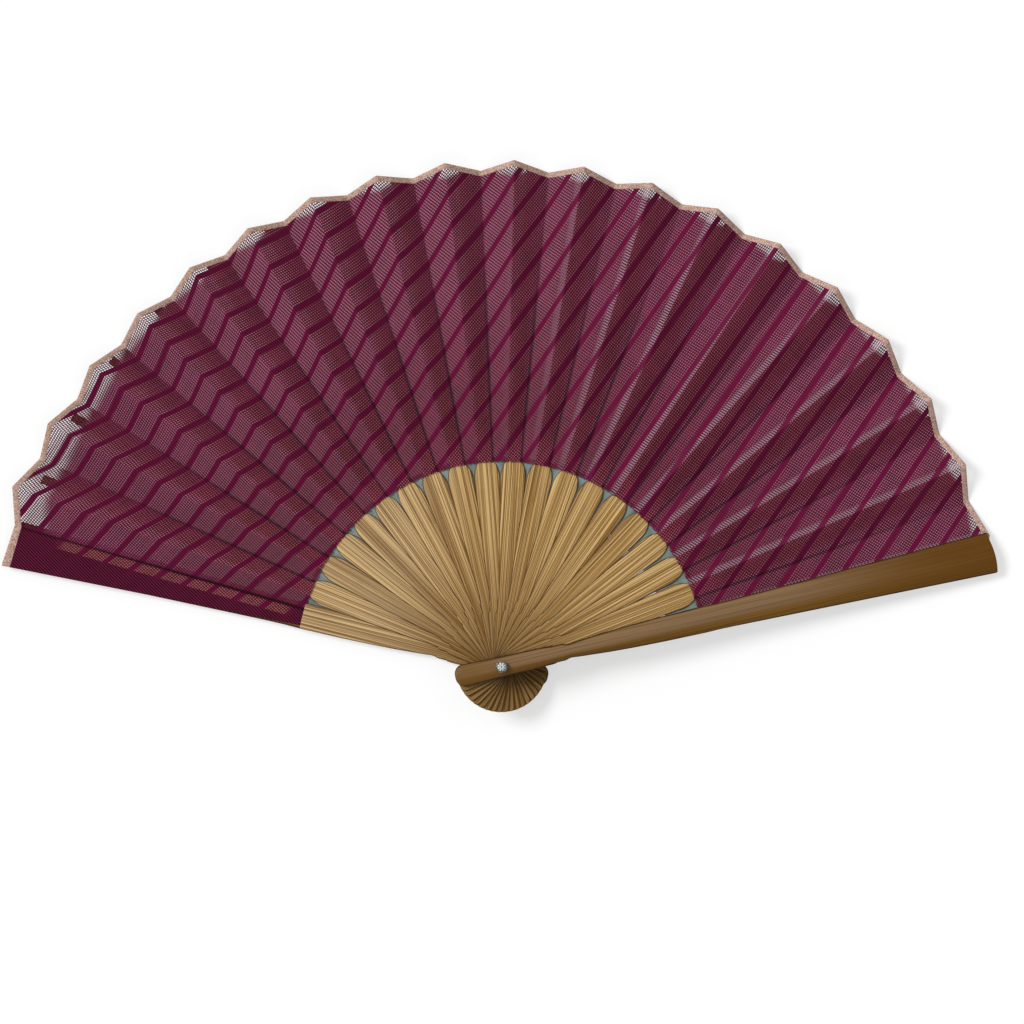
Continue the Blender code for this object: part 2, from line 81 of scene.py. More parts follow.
@dataclass(frozen=True)
class FanLayout:
    """Where every stick and fold of the open fan lies; all the sub-assemblies share it."""

    rib_count: int = sum(name.startswith("rib_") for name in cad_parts)
    rear_turn: float = math.radians(165.9)
    front_turn: float = math.radians(13.0)
    spread_angle: float = math.radians(1.35)
    spread_skew: float = 1.8
    stick_thickness: float = 0.00045
    stick_gap: float = 0.00035
    seat_gap: float = 0.0002
    glue_depth: float = 0.00035
    guard_thickness: float = 0.0022
    rivet_head_height: float = 0.0008
    head_radius: float = 0.0778
    twist_length: float = 0.0120
    peak_radius: float = 0.1912
    valley_radius: float = 0.1876
    peak_flare: float = 0.0057
    valley_flare: float = 0.0042
    flare_sticks: int = 4
    relief: float = 0.0080
    edge_angle: float = math.radians(2.8)

    @property
    def front(self) -> int:
        """Number of the front guard's stick."""
        return self.rib_count + 1

    @property
    def step(self) -> float:
        """Mean angle between two sticks."""
        return (self.rear_turn - self.front_turn) / self.front

    @property
    def fold_angle(self) -> float:
        """Angle of a fold to either side of its rib."""
        return self.step / 4

    @property
    def pleat_tilt(self) -> float:
        """Tilt of a falling panel past the twist."""
        return math.atan(self.relief / 2 / (self.peak_radius * self.fold_angle))

    @property
    def leaf_lift(self) -> float:
        """Height of a falling panel's underside over the slip's middle."""
        return (self.stick_thickness / 2 + self.seat_gap) / math.cos(self.pleat_tilt)

    @property
    def rear_guard_level(self) -> float:
        """Height of the rear guard's middle plane."""
        return self.rivet_head_height + self.seat_gap + self.guard_thickness / 2

    @property
    def liner_to_guard(self) -> float:
        """Distance between the middle planes of a liner and its guard."""
        return self.stick_thickness / 2 + self.seat_gap + self.guard_thickness / 2

    @property
    def guard_face_level(self) -> float:
        """Height of the front guard's outer face on the rivet's axis."""
        up = self.liner_to_guard + self.guard_thickness / 2
        return self.level(self.front) + up / math.cos(self.slope(self.front))

    def flare_share(self, index: int) -> float:
        """How far the cloth stands out at a stick: fully beside the rear guard, less with each stick."""
        share = min(1.0, 1.0 - (index - 1) / self.flare_sticks)
        return max(0.0, share) ** 2

    def peak_reach(self, index: int) -> float:
        """Outer radius of the peak on a stick's left."""
        return self.peak_radius + self.peak_flare * self.flare_share(index)

    def valley_reach(self, index: int) -> float:
        """Outer radius of the valley on a stick's right."""
        return self.valley_radius + self.valley_flare * self.flare_share(index)

    def turn(self, index: int) -> float:
        """Turn of a stick, from 0 for the rear guard to `front` for the front guard."""
        spread = self.spread_angle * math.sin(math.pi * (index / self.front) ** self.spread_skew)
        return self.rear_turn - self.step * index + spread

    def level(self, index: int) -> float:
        """Height of a rib's or liner's middle plane on the rivet."""
        rear_liner_level = self.rear_guard_level + self.liner_to_guard
        return rear_liner_level + (self.stick_thickness + self.stick_gap) * index

    def slope(self, index: int) -> float:
        """Angle by which a stick falls from the rivet until its valley touches the table.

        Args:
            index: Number of the stick.

        Returns:
            The angle, 0 for the rear guard.
        """
        if index == 0:
            return 0.0
        reach = self.valley_reach(index)
        resting = reach * self.fold_angle * math.tan(self.pleat_tilt) - self.leaf_lift
        return math.atan((self.level(index) - resting) / reach)

    def tilt(self, radius: float) -> float:
        """Tilt of a slip and its panel at a distance from the rivet."""
        share = (radius - self.head_radius) / self.twist_length
        return self.pleat_tilt * min(max(share, 0.0), 1.0)

    def stick_height(self, index: int, radius: float) -> float:
        """Height of a stick's middle line at a distance from the rivet."""
        return self.level(index) - radius * math.tan(self.slope(index))

    def panel_height(self, index: int, angle: float, radius: float) -> float:
        """Underside of a falling panel, at an angle from its rib towards the peak."""
        rise = radius * angle * math.tan(self.tilt(radius))
        return self.stick_height(index, radius) + self.leaf_lift + rise

    def rear_panel_height(self, radius: float) -> float:
        """Underside of the first panel, on the rear guard."""
        return self.rear_guard_level + self.guard_thickness / 2 + self.seat_gap

    def front_panel_height(self, radius: float) -> float:
        """Underside of the last panel, which is glued under the front guard."""
        under = self.stick_thickness / 2 - self.glue_depth
        return self.stick_height(self.front, radius) + under / math.cos(self.slope(self.front))

    def place(self, index: int, lift: float = 0.0) -> Matrix:
        """Matrix that brings a stick modelled along +X to its place.

        Args:
            index: Number of the stick.
            lift: Distance above the stick's middle plane.

        Returns:
            The placing matrix.
        """
        turned = Matrix.Rotation(self.turn(index), 4, "Z") @ Matrix.Rotation(self.slope(index), 4, "Y")
        raised = Matrix.Translation((0, 0, self.level(index)))
        return raised @ turned @ Matrix.Translation((0, 0, lift))

    def body(self, index: int) -> str:
        """Name of the CAD body that a stick belongs to."""
        return {0: "rear", self.front: "front"}.get(index, f"stick_{index:02d}")


def operator(kind: str, swapped: bool = False) -> Callable[["Signal", "Signal | float"], "Signal"]:
    """Make one arithmetic operator of a signal.

    Args:
        kind: Operation of its Math node.
        swapped: Whether the other number comes first.

    Returns:
        The operator.
    """

    def work(first: "Signal", second: "Signal | float") -> "Signal":
        """Add the Math node."""
        return first.bench.maths(kind, *((second, first) if swapped else (first, second)))

    return work


class Signal:
    """One number running through a material, with the arithmetic of its nodes."""

    __add__ = __radd__ = operator("ADD")
    __sub__ = operator("SUBTRACT")
    __rsub__ = operator("SUBTRACT", swapped=True)
    __mul__ = __rmul__ = operator("MULTIPLY")
    __truediv__ = operator("DIVIDE")

    def __init__(self, bench: "NodeBench", socket: bpy.types.NodeSocket) -> None:
        """Keep the bench and the socket."""
        self.bench = bench
        self.socket = socket

    def fraction(self) -> "Signal":
        """What is left of the number after its whole part."""
        return self.bench.maths("FRACT", self)

    def absolute(self) -> "Signal":
        """The number without its sign."""
        return self.bench.maths("ABSOLUTE", self)

    def cosine(self) -> "Signal":
        """Cosine of the number."""
        return self.bench.maths("COSINE", self)

    def step(self, low: float, high: float) -> "Signal":
        """Smooth step between two numbers.

        Args:
            low: Number at which the step is 0.
            high: Number at which it is 1; where it is below low, the step falls.

        Returns:
            The step, between 0 and 1.
        """
        start, end = (0.0, 1.0) if low < high else (1.0, 0.0)
        limits = {"From Min": min(low, high), "From Max": max(low, high), "To Min": start, "To Max": end}
        settings = {"interpolation_type": "SMOOTHSTEP"}
        node = self.bench.node("ShaderNodeMapRange", settings, {"Value": self, **limits})
        return Signal(self.bench, node.outputs["Result"])


class NodeBench:
    """A material under construction."""

    def __init__(self, name: str, roughness: float = 0.5) -> None:
        """Make an empty material with one Principled shader.

        Args:
            name: Name of the material.
            roughness: Roughness where no node sets it.
        """
        self.material = bpy.data.materials.new(name)
        self.material.use_nodes = True
        self.nodes = self.material.node_tree.nodes
        self.links = self.material.node_tree.links
        self.shader = self.nodes["Principled BSDF"]
        self.set(Roughness=roughness)

    def join(self, value: "Value", socket: bpy.types.NodeSocket) -> None:
        """Give a socket a number or a colour, or link it to one.

        Args:
            value: The number, colour, signal or socket.
            socket: The socket that takes it.
        """
        if isinstance(value, (Signal, bpy.types.NodeSocket)):
            self.links.new(getattr(value, "socket", value), socket)
        else:
            socket.default_value = (*value, 1.0) if isinstance(value, tuple) else value

    def node(
        self, kind: str, settings: dict[str, object], values: "dict[str | int, Value]"
    ) -> bpy.types.Node:
        """Add one node.

        Args:
            kind: Type of the node.
            settings: Its settings by their names, set first; "stops" are a ramp's places and colours.
            values: The values or links of its sockets, by name or number.

        Returns:
            The new node.
        """
        made = self.nodes.new(kind)
        for key, setting in settings.items():
            if key != "stops":
                setattr(made, key, setting)
                continue
            stops = made.color_ramp.elements
            while len(stops) < len(setting):
                stops.new(1.0)
            for stop, (place, colour) in zip(stops, setting):
                stop.position = place
                stop.color = (*colour, 1.0)
        for key, value in values.items():
            self.join(value, made.inputs[key])
        return made

    def maths(self, operation: str, *values: "Signal | float") -> Signal:
        """Number worked out by one Math node."""
        made = self.node("ShaderNodeMath", {"operation": operation}, dict(enumerate(values)))
        return Signal(self, made.outputs[0])

    def split(self, vector: bpy.types.NodeSocket) -> list[Signal]:
        """The three numbers of a vector."""
        made = self.node("ShaderNodeSeparateXYZ", {}, {0: vector})
        return [Signal(self, output) for output in made.outputs]

    def uv(self, name: str) -> list[Signal]:
        """Both coordinates of a UV map, in metres."""
        return self.split(self.node("ShaderNodeUVMap", {"uv_map": name}, {}).outputs["UV"])[:2]

    def place(self) -> list[Signal]:
        """The three Object coordinates, in metres."""
        return self.split(self.node("ShaderNodeTexCoord", {}, {}).outputs["Object"])

    def noise(
        self, x: "Signal | float", y: "Signal | float", z: "Signal | float" = 0.0, detail: float = 2.0
    ) -> Signal:
        """Soft noise.

        Args:
            x: First coordinate, scaled so that a blotch is about 1 long.
            y: Second coordinate.
            z: Third coordinate, or a number that sets this noise apart from the others.
            detail: How many finer layers it has.

        Returns:
            The noise, between 0 and 1.
        """
        where = self.node("ShaderNodeCombineXYZ", {}, {0: x, 1: y, 2: z})
        values = {"Vector": where.outputs[0], "Scale": 1.0, "Detail": detail}
        return Signal(self, self.node("ShaderNodeTexNoise", {}, values).outputs["Fac"])

    def speckle(self, place: list[Signal], per_metre: float, detail: float = 2.0) -> Signal:
        """Soft noise through the whole of an object."""
        return self.noise(*(part * per_metre for part in place), detail)

    def mix(self, factor: Signal, low: "Value", high: "Value") -> bpy.types.NodeSocket:
        """Colour between two colours."""
        made = self.node("ShaderNodeMix", {"data_type": "RGBA"}, {0: factor, 6: low, 7: high})
        return made.outputs[2]

    def layered(self, colour: "Value", *layers: "tuple[Signal, Value]") -> bpy.types.NodeSocket:
        """Colour with others laid over it, each by its own mask.

        Args:
            colour: The colour at the bottom.
            layers: Masks and colours, from the lowest to the highest.

        Returns:
            The colour on top.
        """
        for mask, tone in layers:
            colour = self.mix(mask, colour, tone)
        return colour

    def ramp(self, factor: Signal, *stops: tuple[float, Colour]) -> bpy.types.NodeSocket:
        """Colour read from a ramp of stops."""
        return self.node("ShaderNodeValToRGB", {"stops": stops}, {0: factor}).outputs["Color"]

    def bump(self, height: Signal, distance: float, strength: float) -> None:
        """Raise the surface by a height between 0 and 1 times a distance."""
        values = {"Strength": strength, "Distance": distance, "Height": height}
        self.set(Normal=self.node("ShaderNodeBump", {}, values).outputs["Normal"])

    def set(self, **values: "Value") -> None:
        """Set sockets of the shader by their names, with _ for a space."""
        for name, value in values.items():
            self.join(value, self.shader.inputs[name.replace("_", " ")])


Value = Signal | bpy.types.NodeSocket | Colour | float


@dataclass(frozen=True)
class BambooFinish:
    """Split bamboo with its fibres running along the stick, and darker edges.

    A range holds the places, in metres, from which and to which a change runs: sideways over the
    fan for the painted light on the left-hand ribs, along the stick for the others. Limits hold the
    values of a noise, or the shares of the half width, from which and to which a tone comes in.

    Attributes:
        painted_left_light: Painted light, a pale greyish tone on the ribs that lie to the left.
        crown: Painted highlight, greyish, on a slat's rounded back towards the leaf, where
            `crown_highlight_share` is set.
        skirt_shade: Painted shade, yellow-brown, on a slat's other side.
    """

    name: str
    deep: Colour
    middle: Colour
    pale: Colour
    vein: Colour
    glint: Colour
    tail: Colour
    tip: Colour
    edge: Colour
    painted_left_light: Colour = linear(190, 166, 132)
    painted_left_light_share: float = 0.0
    painted_left_light_range: Point = (-0.004, -0.045)
    crown: Colour = linear(132, 106, 78)
    skirt_shade: Colour = linear(108, 73, 16)
    crown_highlight_share: float = 0.0
    crown_highlight_range: Point = (0.185, 0.110)
    crown_highlight_limits: tuple[Point, Point] = ((-0.55, 0.15), (1.0, 0.8))
    skirt_shade_limits: Point = (-0.30, -0.80)
    tone_shares: tuple[float, float, float] = (0.34, 0.50, 0.66)
    vein_limits: Point = (0.47, 0.41)
    fine_vein_limits: Point = (0.42, 0.34)
    glint_limits: Point = (0.54, 0.60)
    fine_glint_limits: Point = (0.58, 0.66)
    blotch_limits: Point = (0.60, 0.85)
    roughness: float = 0.5
    coat: float = 0.0
    coat_roughness: float = 0.28
    vein_share: float = 0.8
    glint_share: float = 0.6
    blotch_share: float = 0.35
    tail_share: float = 0.6
    tip_share: float = 0.75
    edge_share: float = 0.9
    fibre_width: float = 0.00032
    fine_width_share: float = 0.55
    edge_width: float = 0.00024
    drift_size: float = 0.0006
    tail_range: Point = (0.062, 0.004)
    tip_range: Point = (0.130, 0.186)
    fibre_height: float = 0.00010

    def make(self) -> bpy.types.Material:
        """Make the material.

        Returns:
            The bamboo, read from the UV maps "grain" (along and across the stick) and "edge"
            (distance from the stick's side, and height over its middle plane), all in metres.
        """
        bench = NodeBench(self.name)
        along, across = bench.uv("grain")
        inside, _ = bench.uv("edge")
        drifted = across + bench.noise(along * 9.0, across * 90.0, 3.0) * self.drift_size
        fibre = bench.noise(along * 7.0, drifted / self.fibre_width, 0.0, 1.0)
        fine = bench.noise(along * 18.0, drifted / (self.fibre_width * self.fine_width_share), 7.0, 0.5)
        broad = bench.noise(along * 16.0, across * 300.0, 11.0)
        stick = bench.noise(across * 28.0, 0.5, 23.0, 0.0)
        blotch = bench.noise(along * 70.0, across * 160.0, 19.0)
        stops = zip(self.tone_shares, (self.deep, self.middle, self.pale))
        colour = bench.ramp(broad * 0.5 + stick * 0.5, *stops)
        # Painted light: the ribs on the left of the fan turn paler and greyer.
        if self.painted_left_light_share:
            left = bench.place()[0].step(*self.painted_left_light_range)
            colour = bench.mix(left * self.painted_left_light_share, colour, self.painted_left_light)
        # Painted highlight on a slat's rounded back, fading towards the tip, and painted shade on its other
        # side.
        if self.crown_highlight_share:
            side = across / (inside + across.absolute())
            near = along.step(*self.crown_highlight_range) * self.crown_highlight_share
            back = side.step(*self.crown_highlight_limits[0]) * side.step(*self.crown_highlight_limits[1])
            colour = bench.layered(
                colour,
                (back * near, self.crown),
                (side.step(*self.skirt_shade_limits) * self.crown_highlight_share, self.skirt_shade),
            )
        # Darker edges: partly the bamboo's stained edges, partly painted shade in the narrow gaps where the
        # sticks overlap.
        worn = inside + (blotch - 0.5) * (self.edge_width * 0.8)
        colour = bench.layered(
            colour,
            (fibre.step(*self.vein_limits) * self.vein_share, self.vein),
            (fine.step(*self.fine_vein_limits) * (self.vein_share * 0.6), self.vein),
            (fibre.step(*self.glint_limits) * self.glint_share, self.glint),
            (fine.step(*self.fine_glint_limits) * (self.glint_share * 0.7), self.glint),
            (blotch.step(*self.blotch_limits) * self.blotch_share, self.vein),
            (along.step(*self.tail_range) * self.tail_share, self.tail),
            (along.step(*self.tip_range) * self.tip_share, self.tip),
            (worn.step(self.edge_width, self.edge_width * 0.3) * self.edge_share, self.edge),
        )
        bench.set(Base_Color=colour, Roughness=fine * 0.22 + (self.roughness - 0.1), Specular_IOR_Level=0.16)
        if self.coat:
            bench.set(Coat_Weight=self.coat, Coat_Roughness=self.coat_roughness)
        bench.bump(fibre * 0.7 + fine * 0.3, self.fibre_height, 0.55)
        return bench.material


@dataclass(frozen=True)
class GauzeFinish:
    """Gauze with closely woven stripes; each hole is partly filled with the threads' fuzz.

    The colour of the fuzz is partly the threads' own and partly painted shade, standing in for the
    shaded table seen through the holes. The cells between the threads are bare near the peaks of
    the rim, brown where a slip is glued behind them and closed where the first panel is lined. On
    the falling panels they carry painted shade towards a valley and painted light towards a peak on
    the left, and the other way round on the right; elsewhere painted shade darkens them towards the
    inner edge. On the right, the last threads below a peak carry a painted highlight against painted
    shade in the holes behind them, and the stripes of the rising panels are painted lighter. Painted
    shade also darkens the cloth along the valley folds. The windows are the see-through blocks of the
    lined panel. A range holds the places, in metres, from which and to which a change runs, and
    limits hold the values of a noise, or of a thread's wave, that do the same.
    """

    name: str = "burgundy_gauze"
    thread: Colour = linear(94, 8, 48)
    thread_deep: Colour = linear(70, 0, 32)
    cell: Colour = linear(152, 88, 112)
    painted_shade_inner_cell: Colour = linear(114, 56, 68)
    painted_light_peak_cell: Colour = linear(172, 110, 124)
    shaded_cell: Colour = linear(156, 82, 90)
    painted_shade_valley_cell: Colour = linear(130, 66, 80)
    lit_valley_cell: Colour = linear(178, 104, 130)
    slip_cell: Colour = linear(148, 94, 82)
    window_cell: Colour = linear(168, 114, 98)
    painted_highlight_dash: Colour = linear(178, 128, 148)
    painted_shade_dash: Colour = linear(34, 0, 16)
    stripe: Colour = linear(78, 0, 38)
    rung: Colour = linear(108, 14, 60)
    lit_stripe: Colour = linear(101, 13, 54)
    lining: Colour = linear(110, 26, 60)
    deep_lining_and_crease_shade: Colour = linear(38, 0, 16)
    warp_pitch: float = 0.00085
    weft_pitch: float = 0.00100
    hole_share: float = 0.53
    hole_blur: float = 0.28
    clear_gain: float = 0.2
    fuzz: float = 0.90
    wander_size: float = 0.00030
    dash_width: float = 0.0027
    stripe_pitch: float = 0.008746
    stripe_phase: float = 0.729
    stripe_width: float = 0.0020
    stripe_blur: float = 0.00012
    slip_half_width: float = 0.0021
    slip_blur: Point = (0.0008, -0.0004)
    pleat_shade_range: Point = (-0.0042, 0.0030)
    inner_shade_range: Point = (0.012, 0.085)
    slip_range: Point = (0.080, 0.020)
    window_side_ranges: tuple[Point, Point] = ((0.0002, 0.0006), (0.0043, 0.0040))
    window_end_ranges: tuple[Point, Point] = ((0.004, 0.008), (0.101, 0.095))
    fray_length: float = 0.0010
    painted_light_swap_range: Point = (-0.050, 0.070)
    lit_range: Point = (-0.070, 0.040)
    dash_range: Point = (-0.010, 0.060)
    ladder_range: Point = (-0.150, -0.080)
    ladder_end_range: Point = (0.060, 0.0)
    crease_shade_range: Point = (0.0008, 0.0002)
    crease_shade_fade_range: Point = (0.030, 0.100)
    lined_crease_shade_range: Point = (0.0014, 0.0005)
    clear_limits: Point = (1.0, 0.7)
    tuft_limits: Point = (0.44, 0.56)
    shade_limits: Point = (0.38, 0.62)
    dash_limits: Point = (-0.55, -0.10)
    ridge_limits: Point = (-0.1, 0.6)
    rung_limits: Point = (-0.3, 0.5)
    ladder_share: float = 0.4
    lit_share: float = 0.7
    rung_share: float = 0.8
    stripe_share: float = 0.92
    weave_height: float = 0.00012

    def cell_colour(
        self, bench: NodeBench, seat: Signal, falling: Signal, inner: Signal, right: Signal
    ) -> bpy.types.NodeSocket:
        """Colour of the fuzz in the holes, with painted light and shade.

        Args:
            bench: The material under construction.
            seat: Distance towards the peak from the stick's middle line.
            falling: 1 on the panels that have a stick, 0 on the others.
            inner: Distance from the leaf's inner edge.
            right: 0 on the left half of the fan, rising to 1 on the right, where the painted light and shade
                on the falling panels swap sides.

        Returns:
            The colour.
        """
        # Painted light and shade on the falling panels: on the left the peak side is lit and the valley side
        # shaded, on the right the other way round.
        peak = bench.mix(right, self.painted_light_peak_cell, self.shaded_cell)
        valley = bench.mix(right, self.painted_shade_valley_cell, self.lit_valley_cell)
        slope = bench.mix(seat.step(*self.pleat_shade_range), valley, peak)
        # Painted shade: elsewhere the cells darken towards the inner edge.
        level = bench.mix(inner.step(*self.inner_shade_range), self.painted_shade_inner_cell, self.cell)
        behind = seat.absolute().step(*(self.slip_half_width + blur for blur in self.slip_blur))
        shown = falling * behind * (1.0 - right * 0.3)
        return bench.layered(
            level, (falling, slope), (shown * (inner.step(*self.slip_range) * 0.45 + 0.35), self.slip_cell)
        )

    def make(self) -> bpy.types.Material:
        """Make the material.

        Returns:
            The gauze, read from the UV maps "cloth" (along and across the stripes of the flat
            cloth), "rim" (distance from the inner edge, and how far a place is from the bare
            corner at a peak, which ends at 1), "seat" (distance from the stick's middle line or
            the first valley, and the kind of panel: 0 rising, 1 falling, 2 lined) and "fold"
            (distances from the panel's valley and peak).
        """
        bench = NodeBench(self.name, 0.85)
        along, across = bench.uv("cloth")
        inner, corner = bench.uv("rim")
        seat, kind = bench.uv("seat")
        valley, peak = bench.uv("fold")
        sideways = bench.place()[0]
        lined = kind.step(1.4, 1.6)
        rising = kind.step(0.6, 0.4)
        falling = kind.step(0.4, 0.6) * (1.0 - lined)
        window = lined
        for place, ranges in ((seat, self.window_side_ranges), (inner, self.window_end_ranges)):
            window = window * place.step(*ranges[0]) * place.step(*ranges[1])
        closed = lined - window
        wander = (bench.noise(along * 260.0, across * 260.0) - 0.5) * self.wander_size
        warp = ((across + wander) * (math.tau / self.warp_pitch)).cosine()
        weft = ((along + wander) * (math.tau / self.weft_pitch)).cosine()
        low = math.cos(math.pi * self.hole_share) - self.hole_blur / 2
        high = low + self.hole_blur
        ladder = rising * sideways.step(*self.ladder_range) * sideways.step(*self.ladder_end_range)
        ladder = ladder * self.ladder_share
        clear = corner.step(*self.clear_limits)
        gap = (warp + clear * self.clear_gain).step(low, high)
        gap = gap + (1.0 - gap) * ladder * (1.0 - clear)
        hole = gap * (weft + clear * self.clear_gain).step(low, high)
        band = ((across / self.stripe_pitch + (0.5 - self.stripe_phase)).fraction() - 0.5).absolute()
        half = self.stripe_width / 2
        beside = band * self.stripe_pitch + wander * 0.5
        stripe = beside.step(half + self.stripe_blur, half - self.stripe_blur) * (1.0 - closed * 0.8)
        hole = hole * (1.0 - stripe)
        thin = (1.0 - falling * 0.7) * (1.0 - self.fuzz)
        cover = 1.0 - hole * (clear * (1.0 - thin) + thin) * (1.0 - closed)
        tuft = bench.noise(along * 1500.0, across * 1500.0, 5.0).step(*self.tuft_limits)
        bench.set(Alpha=cover * (1.0 - inner.step(self.fray_length, 0.0) * tuft))
        slub = bench.noise(along * 20.0, across / self.warp_pitch, 2.0, 1.0)
        pick = bench.noise(along / self.weft_pitch, across * 20.0, 9.0, 1.0)
        cloud = bench.noise(along * 90.0, across * 90.0, 31.0)
        shade = slub * 0.4 + pick * 0.3 + cloud * 0.3
        # The fuzz colour is partly painted shade, standing in for the shaded table seen through the holes.
        cell = self.cell_colour(bench, seat, falling, inner, sideways.step(*self.painted_light_swap_range))
        cell = bench.mix(window, cell, self.window_cell)
        # Painted highlight on the last threads below a peak on the right, with painted shade in the holes
        # between them.
        below = rising * peak.step(self.dash_width, self.dash_width * 0.6)
        below = below * sideways.step(*self.dash_range) * (0.45 + shade * 0.8)
        painted_dashes = bench.mix(weft.step(*self.dash_limits), self.painted_highlight_dash, self.painted_shade_dash)
        ridge = weft.step(*self.ridge_limits) * (0.4 + shade * 1.0)
        ridge = bench.mix(ridge, self.deep_lining_and_crease_shade, self.lining)
        band_colour = bench.mix(weft.step(*self.rung_limits) * self.rung_share, self.stripe, self.rung)
        lit = rising * sideways.step(*self.lit_range) * self.lit_share
        band_colour = bench.mix(lit, band_colour, self.lit_stripe)
        # Painted shade along the valley folds, stronger towards the inner edge and on the lined panel.
        crease_shade = valley.step(*self.crease_shade_range) * (0.80 - inner.step(*self.crease_shade_fade_range) * 0.55)
        crease_shade = crease_shade + lined * valley.step(*self.lined_crease_shade_range) * 0.5
        colour = bench.layered(
            bench.mix(shade.step(*self.shade_limits), self.thread_deep, self.thread),
            (hole * (0.70 + shade * 0.4), cell),
            (below, painted_dashes),
            (closed, ridge),
            (stripe * self.stripe_share, band_colour),
            (crease_shade, self.deep_lining_and_crease_shade),
        )
        bench.set(Base_Color=colour, Sheen_Weight=0.04, Sheen_Roughness=0.5, Specular_IOR_Level=0.1)
        bench.bump((warp + weft) * (-0.25) + 0.5, self.weave_height, 0.6)
        return bench.material


@dataclass(frozen=True)
class TapeFinish:
    """Narrow ribbon bound over the leaf's outer edge."""

    name: str = "edge_ribbon"
    pale: Colour = linear(210, 176, 160)
    deep: Colour = linear(146, 112, 98)
    weave_height: float = 0.0001

    def make(self) -> bpy.types.Material:
        """Make the material.

        Returns:
            The ribbon, with a fine weave and darker stains.
        """
        bench = NodeBench(self.name, 0.8)
        place = bench.place()
        weave = bench.speckle(place, 1800.0)
        stain = bench.speckle(place, 160.0)
        colour = bench.mix(weave.step(0.3, 0.7), self.deep, self.pale)
        bench.set(Base_Color=bench.mix(stain.step(0.55, 0.8) * 0.5, colour, self.deep))
        bench.bump(weave, self.weave_height, 0.6)
        return bench.material


@dataclass(frozen=True)
class BackingFinish:
    """Thin grey-green paper strip behind the ribs' shoulders."""

    name: str = "backing_strip"
    pale: Colour = linear(132, 146, 142)
    deep: Colour = linear(88, 104, 98)
    fibre_height: float = 0.00006

    def make(self) -> bpy.types.Material:
        """Make the material.

        Returns:
            The paper, clouded, with pale fibres.
        """
        bench = NodeBench(self.name, 0.75)
        place = bench.place()
        fibre = bench.speckle(place, 700.0, 3.0)
        cloud = bench.speckle(place, 130.0)
        colour = bench.mix(cloud.step(0.3, 0.7), self.deep, self.pale)
        bench.set(Base_Color=bench.mix(fibre.step(0.55, 0.75) * 0.4, colour, self.pale))
        bench.bump(fibre, self.fibre_height, 0.5)
        return bench.material


@dataclass(frozen=True)
class MetalFinish:
    """Turned metal, with fine wear."""

    name: str
    colour: Colour
    worn: Colour
    roughness: float
    wear_height: float = 0.00002

    def make(self) -> bpy.types.Material:
        """Make the material.

        Returns:
            The metal, paler and rougher where it is worn.
        """
        bench = NodeBench(self.name)
        wear = bench.speckle(bench.place(), 2600.0, 3.0)
        bench.set(Metallic=1.0, Base_Color=bench.mix(wear.step(0.35, 0.7), self.colour, self.worn))
        bench.set(Roughness=wear * 0.25 + self.roughness)
        bench.bump(wear, self.wear_height, 0.5)
        return bench.material


@dataclass(frozen=True)
class CrystalFinish:
    """Clear cut stone with painted reflections: dark in its middle and between its facets."""

    name: str = "clear_crystal"
    bright: Colour = linear(236, 242, 240)
    deep: Colour = linear(58, 62, 58)
    facets: int = 8
    culet_radius: float = 0.00036
    index_of_refraction: float = 1.9

    def make(self) -> bpy.types.Material:
        """Make the material.

        Returns:
            The stone, with painted reflections: dark spokes round a dark middle.
        """
        bench = NodeBench(self.name)
        x, y, z = bench.place()
        radius = bench.maths("SQRT", x * x + y * y)
        angle = bench.maths("ARCTAN2", y, x)
        polish = bench.speckle([x, y, z], 1500.0)
        # Painted reflections in the base colour: dark spokes between the facets and a dark middle.
        painted_facet_reflection = (angle * float(self.facets)).cosine().step(0.1, 0.75)
        painted_facet_reflection = painted_facet_reflection * radius.step(self.culet_radius * 1.4, self.culet_radius * 2.2) * (0.5 + polish * 0.6)
        middle = radius.step(self.culet_radius, self.culet_radius * 0.7)
        bench.set(Base_Color=bench.mix(bench.maths("MAXIMUM", painted_facet_reflection, middle), self.bright, self.deep))
        bench.set(Transmission_Weight=0.25, IOR=self.index_of_refraction, Roughness=polish * 0.08)
        return bench.material


class Finish(Enum):
    """The finishes of the fan, each made once."""

    RIB = BambooFinish(
        name="pale_bamboo",
        deep=linear(138, 100, 46),
        middle=linear(156, 118, 62),
        pale=linear(176, 140, 86),
        vein=linear(104, 68, 24),
        glint=linear(222, 188, 130),
        tail=linear(106, 72, 24),
        tip=linear(112, 70, 42),
        edge=linear(56, 32, 6),
        painted_left_light_share=0.5,
        roughness=0.6,
        vein_share=0.75,
        glint_share=0.75,
        fibre_width=0.00034,
        edge_width=0.00042,
    )
    GUARD = BambooFinish(
        name="stained_bamboo_slat",
        deep=linear(96, 62, 10),
        middle=linear(112, 76, 20),
        pale=linear(130, 94, 38),
        vein=linear(78, 46, 4),
        glint=linear(146, 110, 56),
        tail=linear(112, 78, 26),
        tip=linear(92, 56, 2),
        edge=linear(50, 22, 0),
        crown_highlight_share=0.85,
        roughness=0.45,
        coat=0.06,
        vein_share=0.4,
        glint_share=0.3,
        edge_width=0.00060,
        tail_range=(0.012, -0.016),
        tip_range=(0.100, 0.186),
    )
    GAUZE = GauzeFinish()
    TAPE = TapeFinish()
    BACKING = BackingFinish()
    METAL = MetalFinish("dark_rivet_metal", linear(96, 92, 86), linear(150, 146, 138), 0.32)
    BEZEL = MetalFinish("silver_bezel_metal", linear(84, 84, 80), linear(172, 172, 166), 0.22)
    CRYSTAL = CrystalFinish()

    @property
    def material(self) -> bpy.types.Material:
        """The material, made at its first use."""
        return bpy.data.materials.get(self.value.name) or self.value.make()


class Element(Enum):
    """What is picked in a mesh."""

    VERTEX = "VERT"
    FACE = "FACE"


